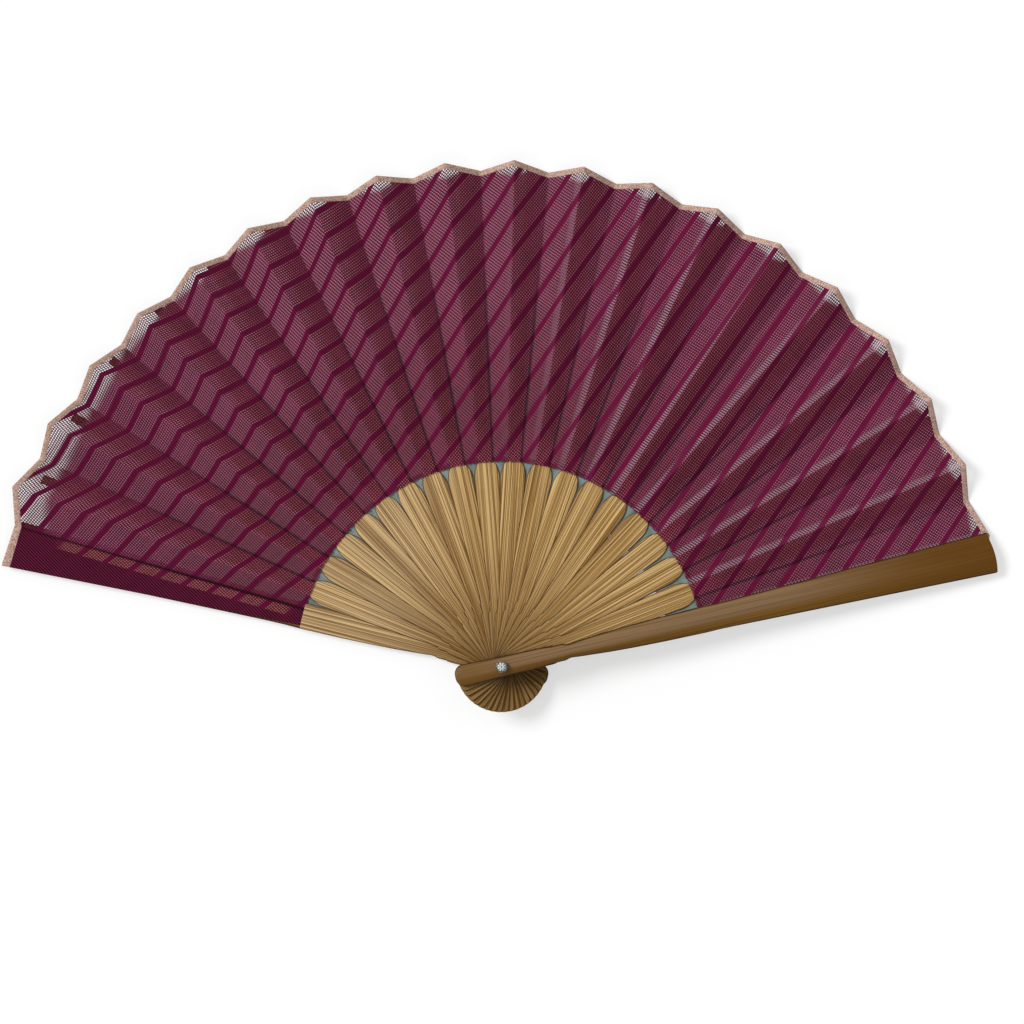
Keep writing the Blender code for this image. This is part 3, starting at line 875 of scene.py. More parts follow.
MeshPart = bmesh.types.BMVert | bmesh.types.BMFace


def choose(thing: bpy.types.Object) -> None:
    """Make one object the only selected and the active one."""
    bpy.ops.object.select_all(action="DESELECT")
    thing.select_set(True)
    bpy.context.view_layer.objects.active = thing


def pick(thing: bpy.types.Object, element: Element, wanted: Callable[[MeshPart], bool]) -> int:
    """In edit mode, select the vertices or the faces that are wanted.

    Args:
        thing: The object in edit mode.
        element: What is selected; vertices take the edges and faces between them along.
        wanted: Test of one vertex or face.

    Returns:
        How many of them are selected.
    """
    bpy.ops.mesh.select_mode(type=element.value)
    bpy.ops.mesh.select_all(action="DESELECT")
    work = bmesh.from_edit_mesh(thing.data)
    work.normal_update()
    found = [part for part in (work.faces if element is Element.FACE else work.verts) if wanted(part)]
    for part in found:
        part.select_set(True)
    if element is Element.VERTEX:
        work.select_flush(True)
    bmesh.update_edit_mesh(thing.data)
    return len(found)


def settle(thing: bpy.types.Object, name: str) -> None:
    """Name a new primitive, put its place into its mesh and enter edit mode."""
    thing.name = thing.data.name = name
    bpy.ops.object.transform_apply(location=True, rotation=True, scale=True)
    bpy.ops.object.mode_set(mode="EDIT")


def move(x: float, y: float, z: float) -> None:
    """In edit mode, move what is selected."""
    bpy.ops.transform.translate(value=(x, y, z))


def extrude(height: float) -> None:
    """In edit mode, extrude the selected faces up or down."""
    bpy.ops.mesh.extrude_region_move(TRANSFORM_OT_translate={"value": (0, 0, height)})


def close_mesh() -> None:
    """Turn all the faces of a mesh outwards and leave edit mode."""
    bpy.ops.mesh.select_all(action="SELECT")
    bpy.ops.mesh.normals_make_consistent(inside=False)
    bpy.ops.object.mode_set(mode="OBJECT")


def soften(thing: bpy.types.Object, width: float, segments: int, angle: float) -> None:
    """Round the edges of an object, and apply all its modifiers.

    Args:
        thing: The object.
        width: Width of the rounding.
        segments: Number of faces across it.
        angle: Angle in degrees from which an edge is rounded.
    """
    bevel = thing.modifiers.new("soften", "BEVEL")
    bevel.width = width
    bevel.segments = segments
    bevel.limit_method = "ANGLE"
    bevel.angle_limit = math.radians(angle)
    choose(thing)
    for modifier in list(thing.modifiers):
        bpy.ops.object.modifier_apply(modifier=modifier.name)


def smooth(thing: bpy.types.Object, angle: float = 35.0) -> None:
    """Shade an object smooth, with edges sharper than an angle in degrees kept sharp."""
    choose(thing)
    bpy.ops.object.shade_smooth_by_angle(angle=math.radians(angle))


def copied(thing: bpy.types.Object, name: str) -> bpy.types.Object:
    """Copy an object with its own mesh.

    Args:
        thing: The object.
        name: Name of the copy.

    Returns:
        The copy.
    """
    choose(thing)
    bpy.ops.object.duplicate(linked=False)
    twin = bpy.context.object
    twin.name = twin.data.name = name
    return twin


def dress(piece: bpy.types.Object, body: str, node: str, slot: str, *finishes: Finish) -> None:
    """Give a bare piece its materials and tie it to the CAD model.

    Args:
        piece: The piece.
        body: Name of the CAD body that it moves with.
        node: Name of the CAD node that it stands for.
        slot: Name of its material slot; not used.
        finishes: Its finishes, in the order of its mesh's slots.
    """
    for finish in finishes:
        piece.data.materials.append(finish.material)
    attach(piece, body)
    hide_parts(node)


def flatten_to_stick(piece: bpy.types.Object, layout: FanLayout, index: int) -> None:
    """Give a tilted piece its own copy of its mesh.

    Args:
        piece: The slip or panel.
        layout: The fan's layout.
        index: Number of the stick that carries it.
    """
    place = layout.place(index)
    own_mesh(piece)


@dataclass(frozen=True)
class Station:
    """One cross-section of a stick: its distance from the rivet, its half width and its tilt."""

    along: float
    half_width: float
    tilt: float = 0.0


def width_at(stations: list[Station], along: float) -> float:
    """Half width of a stick at any place along it.

    Args:
        stations: The stick's stations, from its tail to its tip.
        along: Distance from the rivet.

    Returns:
        The half width between the two nearest stations.
    """
    hair = 1e-9
    for near, far in zip(stations, stations[1:]):
        if along <= far.along + hair:
            share = (along - near.along) / max(far.along - near.along, hair)
            return blend(near.half_width, far.half_width, min(max(share, 0), 1))
    return stations[-1].half_width


def lay_grain(thing: bpy.types.Object, stations: list[Station]) -> None:
    """Write the UV maps "grain" and "edge" from a stick's own length and width.

    Args:
        thing: The stick, still along +X.
        stations: Its stations, which give its sides.
    """
    side_share = 0.7
    grain = thing.data.uv_layers.new(name="grain")
    edge = thing.data.uv_layers.new(name="edge")
    places = [vertex.co for vertex in thing.data.vertices]
    inside = [width_at(stations, place.x) - math.hypot(place.y, place.z) for place in places]
    for loop in thing.data.loops:
        place = places[loop.vertex_index]
        grain.data[loop.index].uv = (place.x, place.y + place.z * side_share)
        edge.data[loop.index].uv = (inside[loop.vertex_index], place.z)


def shift_grain(thing: bpy.types.Object, shift: float) -> None:
    """Slide a stick's grain sideways, so that its fibres differ from its neighbours'."""
    for corner in thing.data.uv_layers["grain"].data:
        corner.uv.y += shift


def rounded_end(
    tip: float, half_width: float, round_size: Point, inward: int, steps: int = 6
) -> list[Station]:
    """Stations round the end of a plate, from its tip inwards.

    Args:
        tip: Place of the tip along the plate.
        half_width: Half width behind the rounding.
        round_size: Length and width of the corner that is rounded off.
        inward: 1 where the plate lies towards +X of the tip, -1 otherwise.
        steps: Number of steps round the corner.

    Returns:
        The stations, the tip first.
    """
    length, width = round_size
    stations = []
    for step in range(steps + 1):
        angle = math.pi / 2 * step / steps
        along = tip + inward * length * (1 - math.cos(angle))
        stations.append(Station(along, half_width - width * (1 - math.sin(angle))))
    return stations


def plate(name: str, stations: list[Station], rows: int = 4) -> bpy.types.Object:
    """Model a flat strip through its stations, from a grid whose columns are pulled into place.

    Args:
        name: Name of the new object.
        stations: Cross-sections from the tail to the tip.
        rows: Number of faces across the strip.

    Returns:
        The strip, along +X in its own XY plane.
    """
    columns = len(stations) - 1
    spacing = 2 / columns
    aside = 10.0
    bpy.ops.object.select_all(action="DESELECT")
    bpy.ops.mesh.primitive_grid_add(x_subdivisions=columns, y_subdivisions=rows, size=2, location=(1, 0, 0))
    thing = bpy.context.object
    settle(thing, name)
    for number, station in enumerate(stations):
        column = number * spacing
        pick(thing, Element.VERTEX, lambda vertex, c=column: abs(vertex.co.x - c) < spacing / 4)
        bpy.ops.transform.resize(value=(1, station.half_width, 1), center_override=(column, 0, 0))
        if station.tilt:
            bpy.ops.transform.rotate(value=-station.tilt, orient_axis="X", center_override=(column, 0, 0))
        move(aside + station.along - column, 0, 0)
    bpy.ops.mesh.select_all(action="SELECT")
    move(-aside, 0, 0)
    bpy.ops.object.mode_set(mode="OBJECT")
    return thing


@dataclass
class Ribs:
    """The ribs: a broad head on the rivet, and a slip that runs inside the leaf.

    Attributes:
        steps: Number of steps in each stretch of a head's or slip's outline.
        carved_shares: Outline of the carved tail, as shares of the waist's radius and of the
            half width at the rivet.
    """

    layout: FanLayout
    tail_length: float = 0.0173
    tail_round: Point = (0.0016, 0.0016)
    pivot_half_width: float = 0.0036
    waist_radius: float = 0.0284
    waist_half_width: float = 0.0027
    widening: float = 0.8
    shoulder_half_width: float = 0.0048
    shoulder_round: Point = (0.0066, 0.0028)
    slip_half_width: float = 0.0022
    slip_tip_half_width: float = 0.0019
    slip_radius: float = 0.1880
    slip_overlap: float = 0.0006
    grain_shift: float = 0.047
    edge: float = 0.00010
    edge_angle: float = 50.0
    steps: int = 8
    carved_shares: tuple[Point, ...] = (
        (0.0, 1.0),
        (0.66, 1.0),
        (0.715, 0.96),
        (0.75, 0.81),
        (0.80, 0.85),
        (0.855, 0.875),
        (0.89, 0.75),
    )

    def carved_stations(self) -> list[Station]:
        """Stations from the rounded tail to the waist, with the carved steps drawn smooth.

        Returns:
            The stations, the last one at the waist.
        """
        found = rounded_end(-self.tail_length, self.pivot_half_width, self.tail_round, 1)
        marks = [
            Station(along * self.waist_radius, across * self.pivot_half_width)
            for along, across in self.carved_shares
        ]
        marks.append(Station(self.waist_radius, self.waist_half_width))
        steps = self.steps // 2
        for near, far in zip(marks, marks[1:]):
            for share in (step / steps for step in range(steps)):
                width = blend(near.half_width, far.half_width, (1 - math.cos(math.pi * share)) / 2)
                found.append(Station(blend(near.along, far.along, share), width))
        return found + marks[-1:]

    def head_stations(self) -> list[Station]:
        """Stations of a rib's head.

        Returns:
            The stations, from the tail to the rounded shoulders.
        """
        stations = self.carved_stations()
        broad = self.shoulder_half_width
        shoulder = rounded_end(self.layout.head_radius, broad, self.shoulder_round, -1, 10)
        start = shoulder[-1].along
        for share in (step / self.steps for step in range(1, self.steps)):
            width = blend(self.waist_half_width, broad, share**self.widening)
            stations.append(Station(blend(self.waist_radius, start, share), width))
        return stations + shoulder[::-1]

    def slip_stations(self) -> list[Station]:
        """Stations of a slip, which turns into the pleat's tilt.

        Returns:
            The stations, the first one under the head's shoulders.
        """
        stations = []
        length = self.layout.twist_length + self.slip_overlap
        for step in range(self.steps + 1):
            radius = self.layout.head_radius - self.slip_overlap + length * step / self.steps
            stations.append(Station(radius, self.slip_half_width, self.layout.tilt(radius)))
        start = stations[-1].along
        for share in (step / self.steps for step in range(1, self.steps + 1)):
            width = blend(self.slip_half_width, self.slip_tip_half_width, share)
            stations.append(Station(blend(start, self.slip_radius, share), width, self.layout.pleat_tilt))
        return stations

    def model(self, name: str, stations: list[Station]) -> bpy.types.Object:
        """Model one strip of bamboo with its wall and grain.

        Args:
            name: Name of the new object.
            stations: Its stations.

        Returns:
            The strip, along +X.
        """
        thing = plate(name, stations)
        wall = thing.modifiers.new("wall", "SOLIDIFY")
        wall.thickness = self.layout.stick_thickness
        wall.offset = 0
        wall.use_even_offset = True
        soften(thing, self.edge, 2, self.edge_angle)
        smooth(thing)
        lay_grain(thing, stations)
        return thing

    def seat(self, piece: bpy.types.Object, index: int, node: str, lift: float, finish: Finish) -> None:
        """Bring a piece of a stick to its place and dress it.

        Args:
            piece: The piece, along +X.
            index: Number of the stick.
            node: Name of the CAD node that it stands for.
            lift: Distance above the stick's middle plane.
            finish: Its finish.
        """
        choose(piece)
        piece.matrix_world = self.layout.place(index, lift)
        bpy.ops.object.transform_apply(location=True, rotation=True, scale=True)
        slot = "bamboo" if finish is Finish.RIB else "stained_bamboo"
        dress(piece, self.layout.body(index), node, slot, finish)

    def build(self) -> list[bpy.types.Object]:
        """Build all the heads and slips.

        Returns:
            The slips, in the ribs' order.
        """
        head = self.model("rib_head", self.head_stations())
        slip = self.model("rib_slip", self.slip_stations())
        slips = []
        for index in range(1, self.layout.front):
            node = f"rib_{index:02d}"
            pieces = [copied(head, f"{node}_head"), copied(slip, f"{node}_slip")]
            for piece in pieces:
                shift_grain(piece, self.grain_shift * index)
                self.seat(piece, index, node, 0.0, Finish.RIB)
            flatten_to_stick(pieces[1], self.layout, index)
            slips.append(pieces[1])
        for model in (head, slip):
            bpy.data.objects.remove(model, do_unlink=True)
        LOG.info("ribs: %d heads and slips", len(slips))
        return slips


@dataclass
class Guards:
    """The two stained guards and their pale liners."""

    layout: FanLayout
    ribs: Ribs
    tail_length: float = 0.0180
    tail_half_width: float = 0.0042
    tail_round: Point = (0.0036, 0.0036)
    carved_steps: tuple[Point, ...] = (
        (0.0, 0.0038),
        (0.0140, 0.0037),
        (0.0195, 0.0032),
        (0.0240, 0.0032),
        (0.0262, 0.0026),
        (0.0280, 0.0028),
    )
    waist_radius: float = 0.0300
    widths: tuple[Point, ...] = (
        (0.0300, 0.0030),
        (0.0340, 0.0033),
        (0.0420, 0.0039),
        (0.0500, 0.0043),
        (0.0620, 0.0047),
        (0.0776, 0.0050),
        (0.0816, 0.0050),
        (0.0840, 0.0049),
        (0.0920, 0.0051),
    )
    tip_radius: float = 0.1914
    tip_half_width: float = 0.0079
    tip_slant: float = 0.0006
    tip_bow: float = 0.0009
    tip_round: float = 0.0006
    tip_round_share: float = 0.35
    rear_tip_radius: float = 0.1900
    rear_tip_half_width: float = 0.0086
    edge_thickness: float = 0.0007
    dome_power: float = 2.4
    rows: int = 16
    columns: int = 30
    liner_columns: int = 6
    edge: float = 0.00022
    edge_angle: float = 45.0
    shade_angle: float = 32.0

    def straight(self, end: float, columns: int) -> list[Station]:
        """Stations from the waist outwards.

        Args:
            end: Distance of the last one from the rivet.
            columns: Number of steps to it.

        Returns:
            The stations, with the guard's half widths.
        """
        marks = [Station(*mark) for mark in self.widths]
        marks.append(Station(self.tip_radius, self.tip_half_width))
        radii = [blend(self.waist_radius, end, step / columns) for step in range(columns + 1)]
        return [Station(radius, width_at(marks, radius)) for radius in radii]

    def stations(self) -> list[Station]:
        """Stations of a guard, from its rounded tail to its broad tip."""
        found = rounded_end(-self.tail_length, self.tail_half_width, self.tail_round, 1, 8)
        found += [Station(along, width) for along, width in self.carved_steps]
        found += self.straight(self.tip_radius - self.tip_round, self.columns)
        return found + [Station(self.tip_radius, self.tip_half_width - self.tip_round * self.tip_round_share)]

    def liner_stations(self) -> list[Station]:
        """Stations of a liner: a rib's carved tail, and then the guard's own width."""
        found = self.ribs.carved_stations()[:-1]
        return found + self.straight(self.layout.head_radius, self.liner_columns)

    def model_slat(self, name: str, top: int) -> bpy.types.Object:
        """Model one guard, domed on one side.

        Args:
            name: Name of the new object.
            top: 1 where the dome faces up, -1 where it faces down.

        Returns:
            The slat, along +X.
        """
        slat = plate(name, self.stations(), self.rows)
        bpy.ops.object.mode_set(mode="EDIT")
        bpy.ops.mesh.select_all(action="SELECT")
        move(0, 0, -top * self.layout.guard_thickness / 2)
        extrude(top * self.edge_thickness)
        self.raise_dome(slat, top)
        self.shape_tip(slat)
        close_mesh()
        soften(slat, self.edge, 3, self.edge_angle)
        smooth(slat, self.shade_angle)
        lay_grain(slat, self.stations())
        return slat

    def raise_dome(self, slat: bpy.types.Object, top: int) -> None:
        """Raise the rows of the outer face into a rounded back, highest along the middle.

        Args:
            slat: The slat in edit mode, its outer face still flat.
            top: 1 where that face is up, -1 where it is down.
        """
        half_rows = self.rows // 2
        dome = self.layout.guard_thickness - self.edge_thickness
        level = top * (self.edge_thickness - self.layout.guard_thickness / 2)
        hair = self.edge_thickness / 20
        stations = self.stations()

        def on_row(place: Vector, row: int) -> bool:
            """Whether a point lies on the outer face, on a row counted from the middle."""
            beside = abs(place.y) / width_at(stations, place.x) * half_rows
            return abs(place.z - level) <= hair and round(beside) == row

        for row in range(half_rows):
            pick(slat, Element.VERTEX, lambda vertex, r=row: on_row(vertex.co, r))
            move(0, 0, top * (dome * (1 - (row / half_rows) ** self.dome_power)))

    def shape_tip(self, slat: bpy.types.Object) -> None:
        """Cut the tip a little aslant and bow it outwards.

        Args:
            slat: The slat in edit mode.
        """
        start = self.tip_radius - self.tip_round / 2
        hair = self.tip_half_width / self.rows / 2
        for row in range(-self.rows // 2, self.rows // 2 + 1):
            share = row / (self.rows / 2)
            side = share * (self.tip_half_width - self.tip_round * self.tip_round_share)
            if pick(slat, Element.VERTEX, lambda v, y=side: v.co.x > start and abs(v.co.y - y) < hair):
                move(-self.tip_slant * share - self.tip_bow * share**2 + self.tip_bow / 2, 0, 0)

    def build(self) -> None:
        """Build both guards and both liners; the rear guard stays under the first panel."""
        front = self.layout.front
        lift = self.layout.liner_to_guard
        slat = self.model_slat("front_guard_slat", 1)
        self.ribs.seat(slat, front, "front_guard", lift, Finish.GUARD)
        rear = replace(self, tip_radius=self.rear_tip_radius, tip_half_width=self.rear_tip_half_width)
        slat = rear.model_slat("rear_guard_slat", -1)
        shift_grain(slat, self.ribs.grain_shift)
        self.ribs.seat(slat, 0, "rear_guard", -lift, Finish.GUARD)
        for index, node in ((0, "rear_guard_liner"), (front, "front_guard_liner")):
            liner = self.ribs.model(f"{node}_plate", self.liner_stations())
            shift_grain(liner, self.ribs.grain_shift * (index + 0.5))
            self.ribs.seat(liner, index, node, 0.0, Finish.RIB)
        LOG.info("guards: two slats and two liners")


@dataclass
class RivetAndStone:
    """The rivet, the beaded silver setting on its end and the cut stone."""

    layout: FanLayout
    rivet_radius: float = 0.0014
    head_radius: float = 0.0030
    head_dish_share: float = 0.35
    head_round_share: float = 0.3
    round_angle: float = 60.0
    setting_radius: float = 0.0022
    setting_height: float = 0.0011
    setting_base: float = 0.0004
    setting_wall: float = 0.00034
    setting_lift: float = 0.0003
    setting_round: float = 0.00008
    setting_round_angle: float = 30.0
    bead_radius: float = 0.00030
    bead_count: int = 14
    stone_lift: float = 0.0002
    girdle_radius: float = 0.00168
    table_radius: float = 0.0010
    culet_share: float = 0.12
    crown_height: float = 0.0006
    pavilion_height: float = 0.00055

    @property
    def setting_level(self) -> float:
        """Height of the setting's underside."""
        return self.layout.guard_face_level + self.setting_lift

    def build(self) -> None:
        """Build the three pieces, all fixed to the rear guard's body."""
        dress(self.rivet(), "rear", "rivet", "dark_metal", Finish.METAL)
        dress(self.setting(), "rear", "stone_setting", "dark_metal", Finish.BEZEL)
        dress(self.stone(), "rear", "stone", "cut_stone", Finish.CRYSTAL)
        LOG.info("rivet, setting and stone")

    def disc(self, name: str, radius: float, low: float, height: float) -> bpy.types.Object:
        """Add a short cylinder on the rivet's axis and leave it in edit mode.

        Args:
            name: Name of the new object.
            radius: Its radius.
            low: Height of its lower face.
            height: Its height.

        Returns:
            The cylinder, with its upper face selected.
        """
        bpy.ops.object.select_all(action="DESELECT")
        size = {"vertices": 56, "radius": radius, "depth": height}
        bpy.ops.mesh.primitive_cylinder_add(**size, location=(0, 0, low + height / 2))
        thing = bpy.context.object
        settle(thing, name)
        pick(thing, Element.FACE, lambda face: face.normal.z > 0.9)
        return thing

    def rivet(self) -> bpy.types.Object:
        """Rivet: a low head below the rear guard and a shank through the sticks.

        Returns:
            The rivet, bare.
        """
        head_height = self.layout.rivet_head_height
        rivet = self.disc("rivet_shank", self.head_radius, 0.0, head_height)
        bpy.ops.mesh.inset(thickness=self.head_radius - self.rivet_radius)
        extrude(self.setting_level - self.layout.seat_gap - head_height)
        pick(rivet, Element.FACE, lambda face: face.normal.z < -0.9)
        bpy.ops.mesh.inset(thickness=self.head_radius * self.head_dish_share)
        bpy.ops.object.mode_set(mode="OBJECT")
        soften(rivet, head_height * self.head_round_share, 4, self.round_angle)
        smooth(rivet)
        return rivet

    def setting(self) -> bpy.types.Object:
        """Setting: a cup with a beaded rim.

        Returns:
            The setting, bare.
        """
        cup = self.disc("stone_cup", self.setting_radius, self.setting_level, self.setting_height)
        bpy.ops.mesh.inset(thickness=self.setting_wall)
        extrude(self.setting_base - self.setting_height)
        bpy.ops.object.mode_set(mode="OBJECT")
        soften(cup, self.setting_round, 2, self.setting_round_angle)
        beads = []
        ring = self.setting_radius - self.bead_radius
        size = {"segments": 12, "ring_count": 8, "radius": self.bead_radius}
        for number in range(self.bead_count):
            angle = math.tau * number / self.bead_count
            rim = self.setting_level + self.setting_height
            place = (ring * math.cos(angle), ring * math.sin(angle), rim)
            bpy.ops.mesh.primitive_uv_sphere_add(**size, location=place)
            beads.append(bpy.context.object)
        choose(cup)
        for bead in beads:
            bead.select_set(True)
        bpy.ops.object.join()
        smooth(cup)
        return cup

    def stone(self) -> bpy.types.Object:
        """Stone: a round brilliant, its table, crown, girdle and pavilion bridged from rings.

        Returns:
            The stone, bare.
        """
        base = self.setting_level + self.setting_base + self.stone_lift
        girdle = base + self.pavilion_height
        table = girdle + self.crown_height
        hair = 1e-6
        rings = (
            (8, self.table_radius, table, math.pi / 8),
            (8, self.girdle_radius * self.culet_share, base, math.pi / 8),
            (16, self.girdle_radius, girdle, 0.0),
        )
        made = []
        for count, radius, height, turned in rings:
            place = {"location": (0, 0, height), "rotation": (0, 0, turned)}
            bpy.ops.mesh.primitive_circle_add(vertices=count, radius=radius, **place)
            made.append(bpy.context.object)
        stone = made[-1]
        choose(stone)
        for ring in made:
            ring.select_set(True)
        bpy.ops.object.join()
        settle(stone, "brilliant_stone")
        for side in (1, -1):
            pick(stone, Element.VERTEX, lambda vertex, s=side: (vertex.co.z - girdle) * s > -hair)
            bpy.ops.mesh.bridge_edge_loops()
        for level in (table, base):
            pick(stone, Element.VERTEX, lambda vertex, z=level: abs(vertex.co.z - z) < hair)
            bpy.ops.mesh.edge_face_add()
        close_mesh()
        return stone


class Bend(Enum):
    """Which way a fold points."""

    PEAK = 1
    FLAT = 0
    VALLEY = -1


@dataclass(frozen=True)
class Fold:
    """One fold line of the leaf, or one of its free edges.

    Attributes:
        turn: Turn about the rivet.
        reach: Outer radius.
        height: Height of the cloth's underside at a radius.
        bend: Which way the fold points.
        cloth_reach: Outer radius of the same line in the flat, unfolded cloth.
        cloth_turn: Its turn there.
    """

    turn: float
    reach: float
    height: Callable[[float], float]
    bend: Bend
    cloth_reach: float
    cloth_turn: float = 0.0

    def point(self, radius: float) -> Vector:
        """Point of the fold line at a radius."""
        return Vector((radius * math.cos(self.turn), radius * math.sin(self.turn), self.height(radius)))


def between(table: tuple[Point, ...], turn: float) -> float:
    """Number read from a table of turns in degrees, evenly between its rows.

    Args:
        table: The rows, from the smallest turn to the largest.
        turn: The turn in radians.

    Returns:
        The number at that turn.
    """
    angle = min(max(math.degrees(turn), table[0][0]), table[-1][0])
    for near, far in zip(table, table[1:]):
        if angle <= far[0]:
            return blend(near[1], far[1], (angle - near[0]) / (far[0] - near[0]))
    return table[-1][1]


@dataclass
class Leaf:
    """The pleated gauze, its bound outer edge and the backing strip along its inner edge.

    Attributes:
        fullness: How many degrees of flat cloth lie in a degree of the open fan, by turn.
        drawn_in: How much shorter the cloth is cut along a peak than beside it, by turn.
        bare_corner: Depth of the corner at a peak of the rim where the holes are clear, by turn.
        bare_lean: How much of that depth is lost for each length away from the peak, by turn.
        edge_shares: Where the mesh's columns lie in the rounding beside a fold.
        middle_shares: Where they lie from there to the panel's middle.
        row_power: How much denser the mesh's rows are towards the inner edge.
        wave_along: Angle that the broad puckers run through along a panel, and its shift from one
            panel to the next; `wave_across` has half turns, and `ripple_along` is for the fine ones.
    """

    layout: FanLayout
    inner_radius: float = 0.0771
    cloth_reach: float = 0.1894
    cloth_lift: float = 0.00014
    stripe_angle: float = math.radians(51.3)
    fullness: tuple[Point, ...] = ((13, 1.05), (50, 1.06), (90, 1.135), (130, 1.126), (168, 1.183))
    drawn_in: tuple[Point, ...] = (
        (13, 0.0),
        (50, 0.0005),
        (92, 0.0021),
        (115, 0.0053),
        (140, 0.0051),
        (168, 0.0035),
    )
    bare_corner: tuple[Point, ...] = (
        (13, 0.0078),
        (60, 0.0074),
        (90, 0.0066),
        (120, 0.0070),
        (138, 0.0086),
        (150, 0.0140),
        (168, 0.0170),
    )
    bare_lean: tuple[Point, ...] = ((13, 0.4), (120, 0.45), (142, 0.3), (168, 0.12))
    falling_lean: float = 1.5
    tape_width: float = 0.0019
    first_tape_width: float = 0.0029
    tape_lift: float = 0.00016
    tape_overlap: float = 0.0002
    strip_inner: float = 0.0645
    strip_outer: float = 0.0790
    strip_drop: float = 0.00003
    strip_rows: int = 8
    fold_round: float = 0.07
    edge_shares: tuple[float, ...] = (0.0, 0.3, 0.62, 1.0)
    middle_shares: tuple[float, ...] = (0.14, 0.24, 0.36, 0.5)
    rows: int = 44
    row_power: float = 1.25
    last_row_share: float = 0.987
    sag: float = 0.00035
    pucker: float = 0.00014
    wave_along: Point = (23.0, 1.7)
    wave_across: Point = (2.6, 0.9)
    ripple_along: Point = (61.0, 2.3)
    rise_keep: float = 0.012
    least_width: float = 0.0105
    folds: list[Fold] = field(default_factory=list)

    def fold(self, index: int, offset: float, reach: float, bend: Bend) -> Fold:
        """Make one fold line.

        Args:
            index: Number of the stick that carries it.
            offset: Its turn from that stick.
            reach: Its outer radius.
            bend: Which way it points.

        Returns:
            The fold, its turn in the flat cloth not yet set.
        """
        lay = self.layout
        height = partial(lay.panel_height, index, offset)
        if index == 0:
            height = lay.rear_panel_height
        elif index == lay.front:
            height = lay.front_panel_height
        turn = lay.turn(index) + offset
        flat_reach = self.cloth_reach + reach - lay.valley_radius
        if bend is Bend.PEAK:
            flat_reach -= between(self.drawn_in, turn)
        return Fold(turn, reach, height, bend, flat_reach)

    def find_folds(self) -> None:
        """List the fold lines from the free edge by the rear guard to the front guard."""
        lay = self.layout
        side = lay.fold_angle
        edge = lay.peak_radius + lay.peak_flare / 3
        found = [self.fold(0, lay.edge_angle, edge, Bend.FLAT)]
        found.append(self.fold(0, -side, lay.valley_reach(0), Bend.FLAT))
        for index in range(1, lay.front):
            found.append(self.fold(index, side, lay.peak_reach(index), Bend.PEAK))
            found.append(self.fold(index, -side, lay.valley_reach(index), Bend.VALLEY))
        found.append(self.fold(lay.front, side, lay.peak_radius, Bend.FLAT))
        found.append(self.fold(lay.front, -side, lay.valley_radius, Bend.FLAT))
        self.folds = self.unfolded(found)

    def unfolded(self, found: list[Fold]) -> list[Fold]:
        """Give each fold its turn in the flat cloth, so that a quarter turn stays where it is.

        Args:
            found: The folds from left to right.

        Returns:
            The same folds with their turns in the flat cloth.
        """
        turns = [found[0].turn]
        quarter = math.pi / 2
        shift = 0.0
        for near, far in zip(found, found[1:]):
            full = (between(self.fullness, near.turn) + between(self.fullness, far.turn)) / 2
            if near.turn >= quarter > far.turn:
                shift = quarter - turns[-1] + (near.turn - quarter) * full
            turns.append(turns[-1] - (near.turn - far.turn) * full)
        return [replace(fold, cloth_turn=turn + shift) for fold, turn in zip(found, turns)]

    def rounding(self, fold: Fold, radius: float, share: float) -> float:
        """Height taken off a peak or added to a valley, near the fold.

        Args:
            fold: The fold.
            radius: Distance from the rivet.
            share: Share of the way from the fold to the next one.

        Returns:
            The change of height.
        """
        if share >= self.fold_round:
            return 0.0
        relief = 2 * radius * self.layout.fold_angle * math.tan(self.layout.tilt(radius))
        return -fold.bend.value * relief * self.fold_round / 2 * (1 - share / self.fold_round) ** 2

    def slack(self, number: int, along: float, across: float) -> float:
        """Sag and puckers of one panel, none at its folds.

        Args:
            number: Number of the panel.
            along: Share of the way from the inner to the outer edge.
            across: Share of the way from the left to the right fold.

        Returns:
            The change of height.
        """
        middle = 4 * across * (1 - across)
        turns = [count * along + shift * number for count, shift in (self.wave_along, self.ripple_along)]
        count, shift = self.wave_across
        wave = math.sin(turns[0]) * math.sin(count * math.pi * across + shift * number)
        ripple = math.sin(turns[1]) * math.sin(math.pi * across)
        grow = 0.3 + 0.7 * along
        if number % 2 == 0:
            return middle * grow * self.pucker * 0.5 * (wave + ripple)
        sag = self.sag * (0.75 + 0.25 * math.sin(5 * along + number))
        return middle * grow * (self.pucker * (wave + 0.6 * ripple) - sag)

    def marks(self, number: int, across: float, radius: float, outer: float) -> tuple[float, Vector, Vector]:
        """Where a point of the gauze lies on its panel.

        Args:
            number: Number of the panel.
            across: Share of the way from the left to the right fold.
            radius: Distance from the rivet.
            outer: Distance from the outer edge of the flat cloth.

        Returns:
            How far it is from the bare corner at the peak, which ends at 1; its distance from the
            stick's middle line or the first valley, with the panel's kind; and its distances from
            the panel's valley and peak.
        """
        left, right = self.folds[number], self.folds[number + 1]
        turn = blend(left.turn, right.turn, across)
        width = radius * (left.turn - right.turn)
        rising = number % 2
        share = 1 - across if rising else across
        fold = Vector(((1 - share) * width, share * width))
        middle, kind = (self.layout.turn(number // 2), 1) if number else (right.turn, 2)
        seat = Vector((0, 0)) if rising else Vector((radius * (turn - middle), kind))
        if number in (0, len(self.folds) - 2):
            return 2.0, seat, fold
        lean = between(self.bare_lean, turn) * (1.0 if rising else self.falling_lean)
        return (outer + fold.y * lean) / between(self.bare_corner, turn), seat, fold

